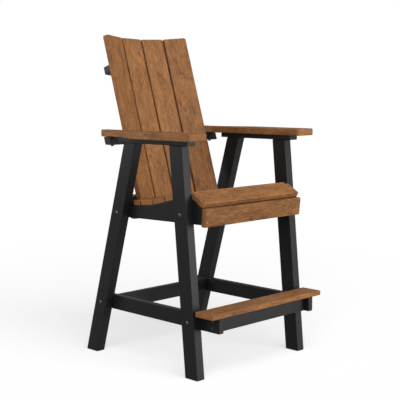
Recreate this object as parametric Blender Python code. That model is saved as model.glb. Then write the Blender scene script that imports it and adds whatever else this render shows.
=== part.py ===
"""Bar chair with arms, built of plastic lumber: black frame boards, brown slats and steel bolts.

Metres, +Z up, the sitter faces -Y and the floor is Z = 0. Left and right are as seen from the front,
with right at +X. Places along Y are written from the front edge of the front feet, and the boards hang
on an empty that brings the middle of the chair's depth to Y = 0.
"""

import math

import bmesh
import bpy
from mathutils import Matrix, Vector

MM = 0.001
SIDES = (("left", -1), ("right", 1))

# Fits and edges
CLEARANCE = 0.3 * MM
EASE = 3.0 * MM
EASE_STEPS = 2
EASED_ANGLE = math.radians(50)
ARC_STEP = math.radians(15)
BRACE_ARC_STEP = math.radians(3)

# Legs
FRAME_WIDTH = 641.6 * MM
LEG_THICKNESS = 40.2 * MM
LEG_WIDTH = 67.6 * MM
LEG_HEIGHT = 895.8 * MM
FRONT_FOOT_Y = 32.4 * MM
FRONT_LEAN = math.radians(5.32)
REAR_LEAN = math.radians(-16.2)
REAR_LEG_BEHIND_BACK = 8.3 * MM

# Arms, and the cleats that carry them on the legs
CLEAT_THICKNESS = 19.05 * MM
CLEAT_OVERHANG = 33.9 * MM
CLEAT_LIP = 3.0 * MM
ARM_THICKNESS = 28.6 * MM
ARM_WIDTH = 103.0 * MM
ARM_REAR_WIDTH = 38.0 * MM
ARM_FRONT_Y = -5.1 * MM
ARM_TO_BACK = 30.3 * MM
ARM_PAST_BOLT = 52.0 * MM
ARM_TAPER_START = 301.0 * MM
ARM_TAPER_END = 508.0 * MM
ARM_TAPER_STEPS = 10
ARM_FRONT_CORNER = 12.5 * MM
ARM_REAR_CORNER = 6.0 * MM
ARM_EASE = 5.0 * MM

# Lower rails, their stretchers and the footrest
RAIL_THICKNESS = 25.4 * MM
LOWER_RAIL_HEIGHT = 60.8 * MM
LOWER_RAIL_BOTTOM = 189.8 * MM
LOWER_RAIL_REACH = 131.0 * MM
LOWER_RAIL_TAIL = 16.5 * MM
FRONT_STRETCHER_INSET = 25.1 * MM
REAR_STRETCHER_INSET = 49.6 * MM
FOOTREST_THICKNESS = 19.6 * MM
FOOTREST_DEPTH = 94.1 * MM
FOOTREST_OVERHANG = 8.5 * MM
FOOTREST_LIP = 1.6 * MM

# Seat: contoured rails, cross slats and the apron
SEAT_SLAT_THICKNESS = 21.2 * MM
SEAT_SLAT_WIDTH = 69.2 * MM
SEAT_SLAT_GAP = 4.5 * MM
SEAT_PEAK_Y = 73.0 * MM
SEAT_PEAK_Z = 697.3 * MM
SEAT_SLOPES = tuple(math.radians(slope) for slope in (30.4, -8.2, -14.0, -14.0, -5.3, -5.3))
REAR_SLAT_WIDTH = 85.1 * MM
REAR_SLAT_END_WIDTH = 40.0 * MM
REAR_SLAT_TO_BACK = 4.0 * MM
SEAT_SHELF_START = 47.0 * MM
SEAT_RAIL_FRONT_DEPTH = 100.9 * MM
SEAT_RAIL_REAR_DEPTH = 110.5 * MM
SEAT_RAIL_END_INSET = 3.0 * MM
SEAT_REAR_RAIL_HEIGHT = 57.0 * MM
APRON_THICKNESS = 20.6 * MM
APRON_LEAN = math.radians(5.8)
APRON_BEFORE_PEAK = 55.7 * MM
APRON_BELOW_PEAK = 107.3 * MM

# Back: four slats on an arc, held by three braces with hollow front edges
RECLINE = math.radians(17.0)
BACK_HEIGHT = 718.7 * MM
BACK_RADIUS = 610.0 * MM
BACK_SLATS = 4
BACK_SLAT_WIDTH = 111.2 * MM
BACK_SLAT_GAP = 8.0 * MM
BACK_SLAT_THICKNESS = 22.2 * MM
BACK_TOP_CORNER = 10.0 * MM
BRACE_THICKNESS = 32.6 * MM
BRACE_DEPTH = 38.0 * MM
UPPER_BRACE_LENGTH = 457.0 * MM
UPPER_BRACE_BELOW_TOP = 125.0 * MM
MIDDLE_BRACE_PAST_BOLT = 26.0 * MM
MIDDLE_BRACE_EAR = 23.0 * MM

# Bolts
BOLT_RADIUS = 3.2 * MM
BOLT_SIDES = 16
BOLT_HEAD_RADIUS = 7.0 * MM
BOLT_HEAD_HEIGHT = 3.6 * MM
BOLT_TIP = 2.5 * MM
BOLT_CHAMFER = 0.8 * MM
NUT_ACROSS_FLATS = 11.1 * MM
NUT_HEIGHT = 5.6 * MM
NUT_EASE = 0.6 * MM
SEAT_BOLT_FRONT_BELOW_PEAK = 64.5 * MM
SEAT_BOLT_REAR_BELOW_PEAK = 87.0 * MM
ARM_BOLT_FROM_EDGE = 19.4 * MM
ARM_BOLT_DEPTH = 20.0 * MM
ARM_BOLT_HEAD_RADIUS = 5.6 * MM
ARM_BOLT_HEAD_HEIGHT = 5.0 * MM
ARM_BOLT_WASHER_RADIUS = 8.0 * MM
ARM_BOLT_WASHER = 1.6 * MM

# Places that follow from the sizes above
LEG_INNER_X = FRAME_WIDTH / 2 - LEG_THICKNESS
RAIL_OUTER_X = LEG_INNER_X - CLEARANCE
RAIL_INNER_X = RAIL_OUTER_X - RAIL_THICKNESS
BETWEEN_RAILS = 2 * (RAIL_INNER_X - CLEARANCE)
LOWER_RAIL_TOP = LOWER_RAIL_BOTTOM + LOWER_RAIL_HEIGHT
LOWER_BOLT_Z = LOWER_RAIL_BOTTOM + LOWER_RAIL_HEIGHT / 2
CLEAT_BOTTOM = LEG_HEIGHT + CLEARANCE
ARM_BOTTOM = CLEAT_BOTTOM + CLEAT_THICKNESS + CLEARANCE
SEAT_PITCH = SEAT_SLAT_WIDTH + SEAT_SLAT_GAP
SEAT_RAIL_FRONT_BOTTOM = SEAT_PEAK_Z - SEAT_RAIL_FRONT_DEPTH
SEAT_RAIL_REAR_BOTTOM = SEAT_PEAK_Z - SEAT_RAIL_REAR_DEPTH
SEAT_BOLT_FRONT_Z = SEAT_PEAK_Z - SEAT_BOLT_FRONT_BELOW_PEAK
SEAT_BOLT_REAR_Z = SEAT_PEAK_Z - SEAT_BOLT_REAR_BELOW_PEAK
APRON_BOTTOM_Y = SEAT_PEAK_Y - APRON_BEFORE_PEAK
APRON_BOTTOM_Z = SEAT_PEAK_Z - APRON_BELOW_PEAK
UP_BACK = Vector((0, math.sin(RECLINE), math.cos(RECLINE)))
BEHIND_BACK = Vector((0, math.cos(RECLINE), -math.sin(RECLINE)))
SLAT_HALF_ANGLE = math.atan((BACK_SLAT_WIDTH + BACK_SLAT_GAP) / 2 / BACK_RADIUS)
SLAT_REAR_RADIUS = BACK_RADIUS + BACK_SLAT_THICKNESS
BRACE_FRONT_RADIUS = math.hypot(SLAT_REAR_RADIUS, BACK_SLAT_WIDTH / 2 - EASE) + CLEARANCE
BRACE_REAR_RADIUS = BRACE_FRONT_RADIUS + BRACE_DEPTH
END_SLAT_ANGLE = (BACK_SLATS - 1) * SLAT_HALF_ANGLE
BACK_HALF_WIDTH = SLAT_REAR_RADIUS * math.sin(END_SLAT_ANGLE) + BACK_SLAT_WIDTH / 2 * math.cos(END_SLAT_ANGLE)
ARM_INNER_X = BACK_HALF_WIDTH + ARM_TO_BACK
ARM_BOLT_X = ARM_INNER_X + ARM_BOLT_FROM_EDGE


def clear_scene():
    for obj in list(bpy.data.objects):
        bpy.data.objects.remove(obj, do_unlink=True)


def plain_material(name, colour, roughness, metallic):
    material = bpy.data.materials.new(name)
    material.use_nodes = True
    shader = material.node_tree.nodes["Principled BSDF"]
    shader.inputs["Base Color"].default_value = (*colour, 1)
    shader.inputs["Roughness"].default_value = roughness
    shader.inputs["Metallic"].default_value = metallic
    material.diffuse_color = (*colour, 1)
    return material


def placed(origin, across, along):
    """The matrix of a frame with its own X along across, its Y along along and its Z square to both."""
    across = Vector(across)
    along = Vector(along)
    turned_frame = Matrix((across, along, across.cross(along))).transposed().to_4x4()
    turned_frame.translation = Vector(origin)
    return turned_frame


def arc_points(centre, radius, start, end, step=ARC_STEP):
    """Points along an arc, both ends included."""
    count = max(1, math.ceil(abs(end - start) / step))
    angles = [start + (end - start) * index / count for index in range(count + 1)]
    return [(centre[0] + radius * math.cos(a), centre[1] + radius * math.sin(a)) for a in angles]


def rounded_rectangle(low, high, radii):
    """A rectangle's outline, anticlockwise from its low corner, with a radius or zero for each corner."""
    corners = ((low[0], low[1]), (high[0], low[1]), (high[0], high[1]), (low[0], high[1]))
    inward = ((1, 1), (-1, 1), (-1, -1), (1, -1))
    outline = []
    for index, (corner, turn, radius) in enumerate(zip(corners, inward, radii)):
        if radius == 0:
            outline.append(corner)
            continue
        centre = (corner[0] + turn[0] * radius, corner[1] + turn[1] * radius)
        start = math.pi + index * math.pi / 2
        outline += arc_points(centre, radius, start, start + math.pi / 2)
    return outline


def rectangle(low, high):
    return rounded_rectangle(low, high, (0, 0, 0, 0))


def add_object(name, shape, material, place, chair):
    """Puts a finished bmesh into the scene as one named piece of the chair."""
    bmesh.ops.recalc_face_normals(shape, faces=shape.faces[:])
    mesh = bpy.data.meshes.new(name)
    shape.to_mesh(mesh)
    shape.free()
    mesh.materials.append(material)
    piece = bpy.data.objects.new(name, mesh)
    bpy.context.scene.collection.objects.link(piece)
    piece.parent = chair
    piece.matrix_basis = place
    return piece


def add_board(name, outline, thickness, material, place, chair, slant=0.0, ease=EASE):
    """A board with its outline in its own XY plane and its thickness along its own Z, edges eased.

    A slant moves the far face along the board's own Y, for a board whose edges are sawn at an angle.
    """
    shape = bmesh.new()
    near_face = shape.faces.new([shape.verts.new((x, y, 0)) for x, y in outline])
    grown = bmesh.ops.extrude_face_region(shape, geom=[near_face])["geom"]
    far_corners = [item for item in grown if isinstance(item, bmesh.types.BMVert)]
    bmesh.ops.translate(shape, vec=(0, slant, thickness), verts=far_corners)
    board = add_object(name, shape, material, place, chair)
    eased = board.modifiers.new("eased_edges", "BEVEL")
    eased.width = ease
    eased.segments = EASE_STEPS
    eased.limit_method = "ANGLE"
    eased.angle_limit = EASED_ANGLE
    eased.use_clamp_overlap = False
    return board


def add_side_board(name, outline, thickness, inner_x, side, material, chair):
    """A board in an upright plane along the chair's side: its outline is in Y and Z."""
    low_x = inner_x if side > 0 else -inner_x - thickness
    return add_board(name, outline, thickness, material, placed((low_x, 0, 0), (0, 1, 0), (0, 0, 1)), chair)


def add_turned(name, profile, sides, material, place, chair):
    """A solid turned about its own Z from points of radius and height, which start and end on the axis."""
    shape = bmesh.new()
    rings = []
    for radius, height in profile:
        if radius == 0:
            rings.append([shape.verts.new((0, 0, height))])
            continue
        angles = [2 * math.pi * index / sides for index in range(sides)]
        rings.append([shape.verts.new((radius * math.cos(a), radius * math.sin(a), height)) for a in angles])
    for upper, lower in zip(rings, rings[1:]):
        for index in range(sides):
            following = (index + 1) % sides
            quad = [upper[index % len(upper)], lower[index % len(lower)]]
            quad += [lower[following % len(lower)], upper[following % len(upper)]]
            shape.faces.new(dict.fromkeys(quad))
    piece = add_object(name, shape, material, place, chair)
    piece.data.shade_smooth()
    piece.data.set_sharp_from_angle(angle=math.radians(35))
    return piece


def add_bore(name, length, place, chair):
    """A cutter for a bolt's hole, along its own Z from its origin."""
    radius = BOLT_RADIUS + CLEARANCE
    profile = ((0, length), (radius, length), (radius, 0), (0, 0))
    cutter = add_turned(name, profile, BOLT_SIDES, None, place, chair)
    cutter.hide_render = True
    cutter.display_type = "WIRE"
    return cutter


def cut(board, cutter):
    hole = board.modifiers.new(cutter.name, "BOOLEAN")
    hole.operation = "DIFFERENCE"
    hole.solver = "EXACT"
    hole.object = cutter


def front_leg_y(z):
    return FRONT_FOOT_Y + math.tan(FRONT_LEAN) * z


def rear_leg_y(z):
    return back_foot_y() + REAR_LEG_BEHIND_BACK + math.tan(REAR_LEAN) * (z - SEAT_BOLT_REAR_Z)


def add_legs(black, chair):
    legs = {}
    for end, leg_y, lean in (("front", front_leg_y, FRONT_LEAN), ("rear", rear_leg_y, REAR_LEAN)):
        half = LEG_WIDTH / 2 / math.cos(lean)
        foot_y, top_y = leg_y(0), leg_y(LEG_HEIGHT)
        outline = [(foot_y - half, 0), (foot_y + half, 0)]
        outline += [(top_y + half, LEG_HEIGHT), (top_y - half, LEG_HEIGHT)]
        for side_name, side in SIDES:
            name = f"{end}_leg_{side_name}"
            legs[name] = add_side_board(name, outline, LEG_THICKNESS, LEG_INNER_X, side, black, chair)
    return legs


def add_cleats(black, chair):
    """The flat boards across the tops of the legs, under the arms."""
    front_half = LEG_WIDTH / 2 / math.cos(FRONT_LEAN)
    rear_half = LEG_WIDTH / 2 / math.cos(REAR_LEAN)
    front_y = front_leg_y(LEG_HEIGHT) - front_half - CLEAT_OVERHANG
    rear_y = rear_leg_y(LEG_HEIGHT) + rear_half + CLEAT_OVERHANG
    half_width = LEG_THICKNESS / 2 + CLEAT_LIP
    outline = rectangle((-half_width, front_y), (half_width, rear_y))
    for side_name, side in SIDES:
        middle_x = side * (LEG_INNER_X + LEG_THICKNESS / 2)
        place = placed((middle_x, 0, CLEAT_BOTTOM), (1, 0, 0), (0, 1, 0))
        add_board(f"arm_cleat_{side_name}", outline, CLEAT_THICKNESS, black, place, chair)


def arm_outline(side):
    """The arm from above, from its inner front corner round: wide in front, drawn in to a narrow rear end."""
    corner = ARM_FRONT_CORNER
    outline = arc_points((corner, corner), corner, math.pi, 1.5 * math.pi)
    outline += arc_points((ARM_WIDTH - corner, corner), corner, 1.5 * math.pi, 2 * math.pi)
    for index in range(ARM_TAPER_STEPS + 1):
        share = index / ARM_TAPER_STEPS
        wide = (1 + math.cos(math.pi * share)) / 2
        across = ARM_REAR_WIDTH + (ARM_WIDTH - ARM_REAR_WIDTH) * wide
        outline.append((across, ARM_TAPER_START + (ARM_TAPER_END - ARM_TAPER_START) * share))
    corner = ARM_REAR_CORNER
    rear = arm_bolt_y() + ARM_PAST_BOLT - ARM_FRONT_Y - corner
    outline += arc_points((ARM_REAR_WIDTH - corner, rear), corner, 0, math.pi / 2)
    outline += arc_points((corner, rear), corner, math.pi / 2, math.pi)
    return [(side * (ARM_INNER_X + across), ARM_FRONT_Y + along) for across, along in outline]


def add_arms(brown, chair):
    place = placed((0, 0, ARM_BOTTOM), (1, 0, 0), (0, 1, 0))
    arms = {}
    for side_name, side in SIDES:
        name = f"arm_{side_name}"
        arms[name] = add_board(name, arm_outline(side), ARM_THICKNESS, brown, place, chair, ease=ARM_EASE)
    return arms


def add_lower_frame(black, brown, chair):
    """The low side rails, the stretchers between them and the footrest on top of them."""
    front_y, rear_y = lower_rail_front_y(), lower_rail_rear_y()
    outline = rectangle((front_y, LOWER_RAIL_BOTTOM), (rear_y, LOWER_RAIL_TOP))
    rails = {}
    for side_name, side in SIDES:
        name = f"lower_rail_{side_name}"
        rails[name] = add_side_board(name, outline, RAIL_THICKNESS, RAIL_INNER_X, side, black, chair)
    outline = rectangle((-BETWEEN_RAILS / 2, 0), (BETWEEN_RAILS / 2, LOWER_RAIL_HEIGHT))
    stretchers = (("front_stretcher", front_y + FRONT_STRETCHER_INSET + RAIL_THICKNESS),
                  ("rear_stretcher", rear_y - REAR_STRETCHER_INSET))
    for name, stretcher_y in stretchers:
        place = placed((0, stretcher_y, LOWER_RAIL_BOTTOM), (1, 0, 0), (0, 0, 1))
        add_board(name, outline, RAIL_THICKNESS, black, place, chair)
    half_width = FRAME_WIDTH / 2 + FOOTREST_LIP
    outline = rectangle((-half_width, 0), (half_width, FOOTREST_DEPTH))
    place = placed((0, footrest_front_y(), LOWER_RAIL_TOP + CLEARANCE), (1, 0, 0), (0, 1, 0))
    add_board("footrest", outline, FOOTREST_THICKNESS, brown, place, chair)
    return rails


def lower_rail_front_y():
    return front_leg_y(LOWER_BOLT_Z) - LOWER_RAIL_REACH


def lower_rail_rear_y():
    return rear_leg_y(LOWER_BOLT_Z) + LOWER_RAIL_TAIL


def footrest_front_y():
    return lower_rail_front_y() - FOOTREST_OVERHANG


def slope_direction(slope):
    return Vector((math.cos(slope), math.sin(slope)))


def seat_contour():
    """Corners (Y, Z) of the seat rails' top edge, with one straight seat for each slat."""
    peak = Vector((SEAT_PEAK_Y, SEAT_PEAK_Z))
    corners = [peak - SEAT_PITCH * slope_direction(SEAT_SLOPES[0]), peak]
    for slope in SEAT_SLOPES[1:-1]:
        corners.append(corners[-1] + SEAT_PITCH * slope_direction(slope))
    corners.append(corners[-1] + SEAT_SHELF_START * slope_direction(SEAT_SLOPES[-1]))
    return corners


def slat_start(index):
    """The lower front edge (Y, Z) of a seat slat."""
    along = slope_direction(SEAT_SLOPES[index])
    above = Vector((-along.y, along.x))
    return seat_contour()[index] + along * SEAT_SLAT_GAP / 2 + above * CLEARANCE


def seat_shelf_z():
    return seat_contour()[-1].y


def apron_rear_y(z):
    return APRON_BOTTOM_Y - math.tan(APRON_LEAN) * (z - APRON_BOTTOM_Z)


def seat_rail_outline():
    """The rail from the side: a nose behind the apron, slat seats on top, a level shelf at the rear."""
    corners = seat_contour()
    front_y = apron_rear_y(SEAT_RAIL_FRONT_BOTTOM) + CLEARANCE
    nose_slope = math.tan(SEAT_SLOPES[0])
    apron_slope = math.tan(APRON_LEAN)
    nose, peak = corners[0], corners[1]
    overshoot = apron_rear_y(nose.y) + CLEARANCE - nose.x
    nose_y = nose.x + overshoot / (1 + nose_slope * apron_slope)
    nose_z = peak.y - (peak.x - nose_y) * nose_slope
    rear_half = LEG_WIDTH / 2 / math.cos(REAR_LEAN) - SEAT_RAIL_END_INSET
    shelf_z = corners[-1].y
    rear_bottom_y = rear_leg_y(SEAT_RAIL_REAR_BOTTOM) + rear_half
    rear_top_y = rear_leg_y(shelf_z) + rear_half
    outline = [(front_y, SEAT_RAIL_FRONT_BOTTOM), (rear_bottom_y, SEAT_RAIL_REAR_BOTTOM)]
    outline.append((rear_top_y, shelf_z))
    outline += [(corner.x, corner.y) for corner in reversed(corners[1:])]
    return outline + [(nose_y, nose_z)]


def rear_slat_end():
    """The lower rear edge (Y, Z) of the rear slat at its middle."""
    return seat_contour()[-2] + (SEAT_SLAT_GAP / 2 + REAR_SLAT_WIDTH) * slope_direction(SEAT_SLOPES[-1])


def back_foot_y():
    """Where the front of the back, carried on down its slope, meets the height of the rails' shelf."""
    end = rear_slat_end()
    return end.x + REAR_SLAT_TO_BACK + math.tan(RECLINE) * (seat_shelf_z() - end.y)


def rear_slat_outline():
    """The rear slat from above: straight ends, and a rear edge that swells into the hollow of the back."""
    rise = (REAR_SLAT_WIDTH - REAR_SLAT_END_WIDTH) * math.cos(RECLINE)
    reach = math.acos(1 - rise / BACK_RADIUS)
    swell = []
    for across, behind in arc_points((0, -BACK_RADIUS), BACK_RADIUS, math.pi / 2 - reach, math.pi / 2 + reach,
                                     BRACE_ARC_STEP):
        swell.append((across, REAR_SLAT_WIDTH + behind / math.cos(RECLINE)))
    half = RAIL_OUTER_X
    return [(-half, 0), (half, 0), (half, REAR_SLAT_END_WIDTH), *swell, (-half, REAR_SLAT_END_WIDTH)]


def add_seat(black, brown, chair):
    rails = {}
    for side_name, side in SIDES:
        name = f"seat_rail_{side_name}"
        outline = seat_rail_outline()
        rails[name] = add_side_board(name, outline, RAIL_THICKNESS, RAIL_INNER_X, side, black, chair)
    plain_slat = rectangle((-RAIL_OUTER_X, 0), (RAIL_OUTER_X, SEAT_SLAT_WIDTH))
    for index, slope in enumerate(SEAT_SLOPES):
        along = slope_direction(slope)
        start = slat_start(index)
        place = placed((0, start.x, start.y), (1, 0, 0), (0, along.x, along.y))
        outline = rear_slat_outline() if index == len(SEAT_SLOPES) - 1 else plain_slat
        add_board(f"seat_slat_{index + 1}", outline, SEAT_SLAT_THICKNESS, brown, place, chair)
    outline = rectangle((-BETWEEN_RAILS / 2, 0), (BETWEEN_RAILS / 2, SEAT_REAR_RAIL_HEIGHT))
    bottom = rear_slat_end().y - SEAT_REAR_RAIL_HEIGHT
    place = placed((0, back_foot_y(), bottom), (1, 0, 0), (0, 0, 1))
    add_board("seat_rear_rail", outline, RAIL_THICKNESS, black, place, chair)
    apron_height = (slat_start(0).y - CLEARANCE - APRON_BOTTOM_Z) / math.cos(APRON_LEAN)
    outline = rectangle((-RAIL_OUTER_X, 0), (RAIL_OUTER_X, apron_height))
    up_apron = (0, -math.sin(APRON_LEAN), math.cos(APRON_LEAN))
    add_board("seat_apron", outline, APRON_THICKNESS, brown,
              placed((0, APRON_BOTTOM_Y, APRON_BOTTOM_Z), (1, 0, 0), up_apron), chair)
    return rails


def back_point(across, behind, up):
    """A point of the leaning back: across, behind the middle of its front and up its slope from the shelf."""
    foot = Vector((across, back_foot_y(), seat_shelf_z()))
    return foot + behind * BEHIND_BACK + up * UP_BACK


def back_bottom():
    """How far up the back its slats begin, where they rest on the rear edge of the rear seat rail."""
    rest = Vector((0, back_foot_y(), rear_slat_end().y))
    return (rest - back_point(0, 0, 0)).dot(UP_BACK) + CLEARANCE


def add_back_slats(brown, chair):
    bottom = back_bottom()
    half = BACK_SLAT_WIDTH / 2
    for index in range(BACK_SLATS):
        angle = (2 * index + 1 - BACK_SLATS) * SLAT_HALF_ANGLE
        radii = [0, 0, 0, 0]
        if index == 0:
            radii[3] = BACK_TOP_CORNER
        if index == BACK_SLATS - 1:
            radii[2] = BACK_TOP_CORNER
        outline = rounded_rectangle((-half, bottom), (half, BACK_HEIGHT), radii)
        across = Vector((math.cos(angle), 0, 0)) - math.sin(angle) * BEHIND_BACK
        behind = SLAT_REAR_RADIUS * math.cos(angle) - BACK_RADIUS
        rear_middle = back_point(SLAT_REAR_RADIUS * math.sin(angle), behind, 0)
        add_board(f"back_slat_{index + 1}", outline, BACK_SLAT_THICKNESS, brown,
                  placed(rear_middle, across, UP_BACK), chair)


def brace_arc(radius, reach):
    """Points across and behind along one edge of a brace, out to an angle on both sides of the middle."""
    return arc_points((0, -BACK_RADIUS), radius, math.pi / 2 + reach, math.pi / 2 - reach, BRACE_ARC_STEP)


def brace_outline(half_length):
    """A brace as long as the arcs of its two edges, with square ends."""
    front = brace_arc(BRACE_FRONT_RADIUS, math.asin(half_length / BRACE_FRONT_RADIUS))
    rear = brace_arc(BRACE_REAR_RADIUS, math.asin(half_length / BRACE_REAR_RADIUS))
    return front + rear[::-1]


def eared_brace_outline(half_length):
    """A brace whose ends run on straight past the slats, under the arms."""
    front_line = -MIDDLE_BRACE_EAR
    rear_line = front_line + BRACE_DEPTH
    front = brace_arc(BRACE_FRONT_RADIUS, math.acos((BACK_RADIUS + front_line) / BRACE_FRONT_RADIUS))
    rear = brace_arc(BRACE_REAR_RADIUS, math.acos((BACK_RADIUS + rear_line) / BRACE_REAR_RADIUS))
    outline = [(-half_length, front_line), *front, (half_length, front_line)]
    return outline + [(half_length, rear_line), *rear[::-1], (-half_length, rear_line)]


def back_front_y(z):
    """The front of the back at its middle, at a height."""
    return back_foot_y() + math.tan(RECLINE) * (z - seat_shelf_z())


def add_level_brace(name, outline, bottom_z, black, chair):
    """A level brace, its front and rear edges sawn to the slope of the back."""
    level_outline = [(across, behind / math.cos(RECLINE)) for across, behind in outline]
    place = placed((0, back_front_y(bottom_z), bottom_z), (1, 0, 0), (0, 1, 0))
    slant = math.tan(RECLINE) * BRACE_THICKNESS
    return add_board(name, level_outline, BRACE_THICKNESS, black, place, chair, slant)


def add_braces(black, chair):
    outline = brace_outline(RAIL_OUTER_X)
    add_level_brace("back_brace_lower", outline, seat_shelf_z() + CLEARANCE, black, chair)
    outline = eared_brace_outline(ARM_BOLT_X + MIDDLE_BRACE_PAST_BOLT)
    middle = add_level_brace("back_brace_middle", outline, middle_brace_bottom(), black, chair)
    foot = back_point(0, 0, BACK_HEIGHT - UPPER_BRACE_BELOW_TOP - BRACE_THICKNESS)
    outline = brace_outline(UPPER_BRACE_LENGTH / 2)
    place = placed(foot, (1, 0, 0), BEHIND_BACK)
    add_board("back_brace_upper", outline, BRACE_THICKNESS, black, place, chair)
    return middle


def middle_brace_bottom():
    return ARM_BOTTOM - CLEARANCE - BRACE_THICKNESS


def arm_bolt_y():
    """The middle of the middle brace's ears, half way up them."""
    ear_middle = (BRACE_DEPTH / 2 - MIDDLE_BRACE_EAR) / math.cos(RECLINE)
    return back_front_y(middle_brace_bottom() + BRACE_THICKNESS / 2) + ear_middle


def bolt_profile(head_points, length):
    """A bolt's half section from the top of its head down to its tip; the head sits on height zero."""
    shank = [(BOLT_RADIUS, 0), (BOLT_RADIUS, BOLT_CHAMFER - length)]
    tip = [(BOLT_RADIUS - BOLT_CHAMFER, -length), (0, -length)]
    return head_points + shank + tip


def domed_head():
    height, rim = BOLT_HEAD_HEIGHT, BOLT_HEAD_HEIGHT / 4
    share = ((0, 1), (0.4, 0.93), (0.75, 0.7), (1, 0))
    dome = [(BOLT_HEAD_RADIUS * out, rim + (height - rim) * up) for out, up in share]
    return dome + [(BOLT_HEAD_RADIUS, 0)]


def hexagon(across_flats):
    radius = across_flats / math.sqrt(3)
    return [(radius * math.cos(math.pi / 3 * i), radius * math.sin(math.pi / 3 * i)) for i in range(6)]


def add_leg_bolt(label, board_pair, y, z, side, steel, chair):
    """A domed bolt through a leg and the rail behind it, with a nut on the rail's inner face."""
    outward = (side, 0, 0)
    along = (0, 0, 1)
    across = Vector(along).cross(Vector(outward))
    through = LEG_THICKNESS + CLEARANCE + RAIL_THICKNESS
    length = through + 2 * CLEARANCE + NUT_HEIGHT + BOLT_TIP
    head_seat = (side * (FRAME_WIDTH / 2 + CLEARANCE), y, z)
    nut_seat = (side * (RAIL_INNER_X - CLEARANCE - NUT_HEIGHT), y, z)
    bore_foot = (side * (FRAME_WIDTH / 2 - length - BOLT_TIP), y, z)
    bore = add_bore(f"bore_{label}", length + 2 * BOLT_TIP, placed(bore_foot, across, along), chair)
    add_turned(f"bolt_{label}", bolt_profile(domed_head(), length), BOLT_SIDES, steel,
               placed(head_seat, across, along), chair)
    nut = add_board(f"nut_{label}", hexagon(NUT_ACROSS_FLATS), NUT_HEIGHT, steel,
                    placed(nut_seat, across, along), chair, ease=NUT_EASE)
    for piece in (*board_pair, nut):
        cut(piece, bore)


def add_leg_bolts(legs, seat_rails, lower_rails, steel, chair):
    joints = (
        ("front", "seat", front_leg_y, SEAT_BOLT_FRONT_Z, seat_rails),
        ("rear", "seat", rear_leg_y, SEAT_BOLT_REAR_Z, seat_rails),
        ("front", "lower", front_leg_y, LOWER_BOLT_Z, lower_rails),
        ("rear", "lower", rear_leg_y, LOWER_BOLT_Z, lower_rails),
    )
    for end, level, leg_y, z, rails in joints:
        for side_name, side in SIDES:
            pair = (legs[f"{end}_leg_{side_name}"], rails[f"{level}_rail_{side_name}"])
            label = f"{end}_{level}_{side_name}"
            add_leg_bolt(label, pair, leg_y(z), z, side, steel, chair)


def add_arm_bolts(arms, middle_brace, steel, chair):
    """A bolt from below through each end of the middle brace, up into the arm."""
    washer, head = ARM_BOLT_WASHER, ARM_BOLT_WASHER + ARM_BOLT_HEAD_HEIGHT
    head_points = [(0, head), (ARM_BOLT_HEAD_RADIUS, head), (ARM_BOLT_HEAD_RADIUS, washer),
                   (ARM_BOLT_WASHER_RADIUS, washer), (ARM_BOLT_WASHER_RADIUS, 0)]
    length = BRACE_THICKNESS + ARM_BOLT_DEPTH
    seat_z = middle_brace_bottom() - CLEARANCE
    bolt_y = arm_bolt_y()
    for side_name, side in SIDES:
        place = placed((side * ARM_BOLT_X, bolt_y, seat_z), (1, 0, 0), (0, -1, 0))
        profile = bolt_profile(head_points, length)
        add_turned(f"arm_bolt_{side_name}", profile, BOLT_SIDES, steel, place, chair)
        bore_top = (side * ARM_BOLT_X, bolt_y, seat_z + length + CLEARANCE)
        bore_place = placed(bore_top, (1, 0, 0), (0, -1, 0))
        bore = add_bore(f"bore_arm_{side_name}", length + BOLT_TIP, bore_place, chair)
        for piece in (arms[f"arm_{side_name}"], middle_brace):
            cut(piece, bore)


def middle_of_depth():
    """Half way from the footrest's front edge to the rear of the back's top."""
    slat_edge = (BACK_SLAT_WIDTH / 2 - EASE) * math.sin(SLAT_HALF_ANGLE)
    behind = SLAT_REAR_RADIUS * math.cos(SLAT_HALF_ANGLE) - BACK_RADIUS + slat_edge
    rear_y = back_point(0, behind, BACK_HEIGHT - EASE).y
    return (footrest_front_y() + rear_y) / 2


def main():
    clear_scene()
    brown = plain_material("brown_lumber", (0.30, 0.145, 0.062), 0.55, 0.0)
    black = plain_material("black_lumber", (0.022, 0.022, 0.022), 0.5, 0.0)
    steel = plain_material("bolt_steel", (0.45, 0.45, 0.44), 0.35, 1.0)
    chair = bpy.data.objects.new("chair", None)
    chair.location.y = -middle_of_depth()
    bpy.context.scene.collection.objects.link(chair)
    legs = add_legs(black, chair)
    add_cleats(black, chair)
    arms = add_arms(brown, chair)
    lower_rails = add_lower_frame(black, brown, chair)
    seat_rails = add_seat(black, brown, chair)
    add_back_slats(brown, chair)
    middle_brace = add_braces(black, chair)
    add_leg_bolts(legs, seat_rails, lower_rails, steel, chair)
    add_arm_bolts(arms, middle_brace, steel, chair)


main()
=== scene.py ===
"""Looks of the bar chair: grained brown slats, satin black frame boards, steel bolts and countersunk screws.

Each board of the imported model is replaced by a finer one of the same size, with rounded edges and bored
screw pockets, and each bolt and nut by a finer one too. Sizes are in metres. Places along Y are those of the
chair's own layout, in which the front feet stand near zero, and DEPTH_SHIFT brings them into the frame of the
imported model. Left and right are as seen from the front.
"""

import math
import random

import bmesh
import bpy
from mathutils import Matrix, Vector


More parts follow.
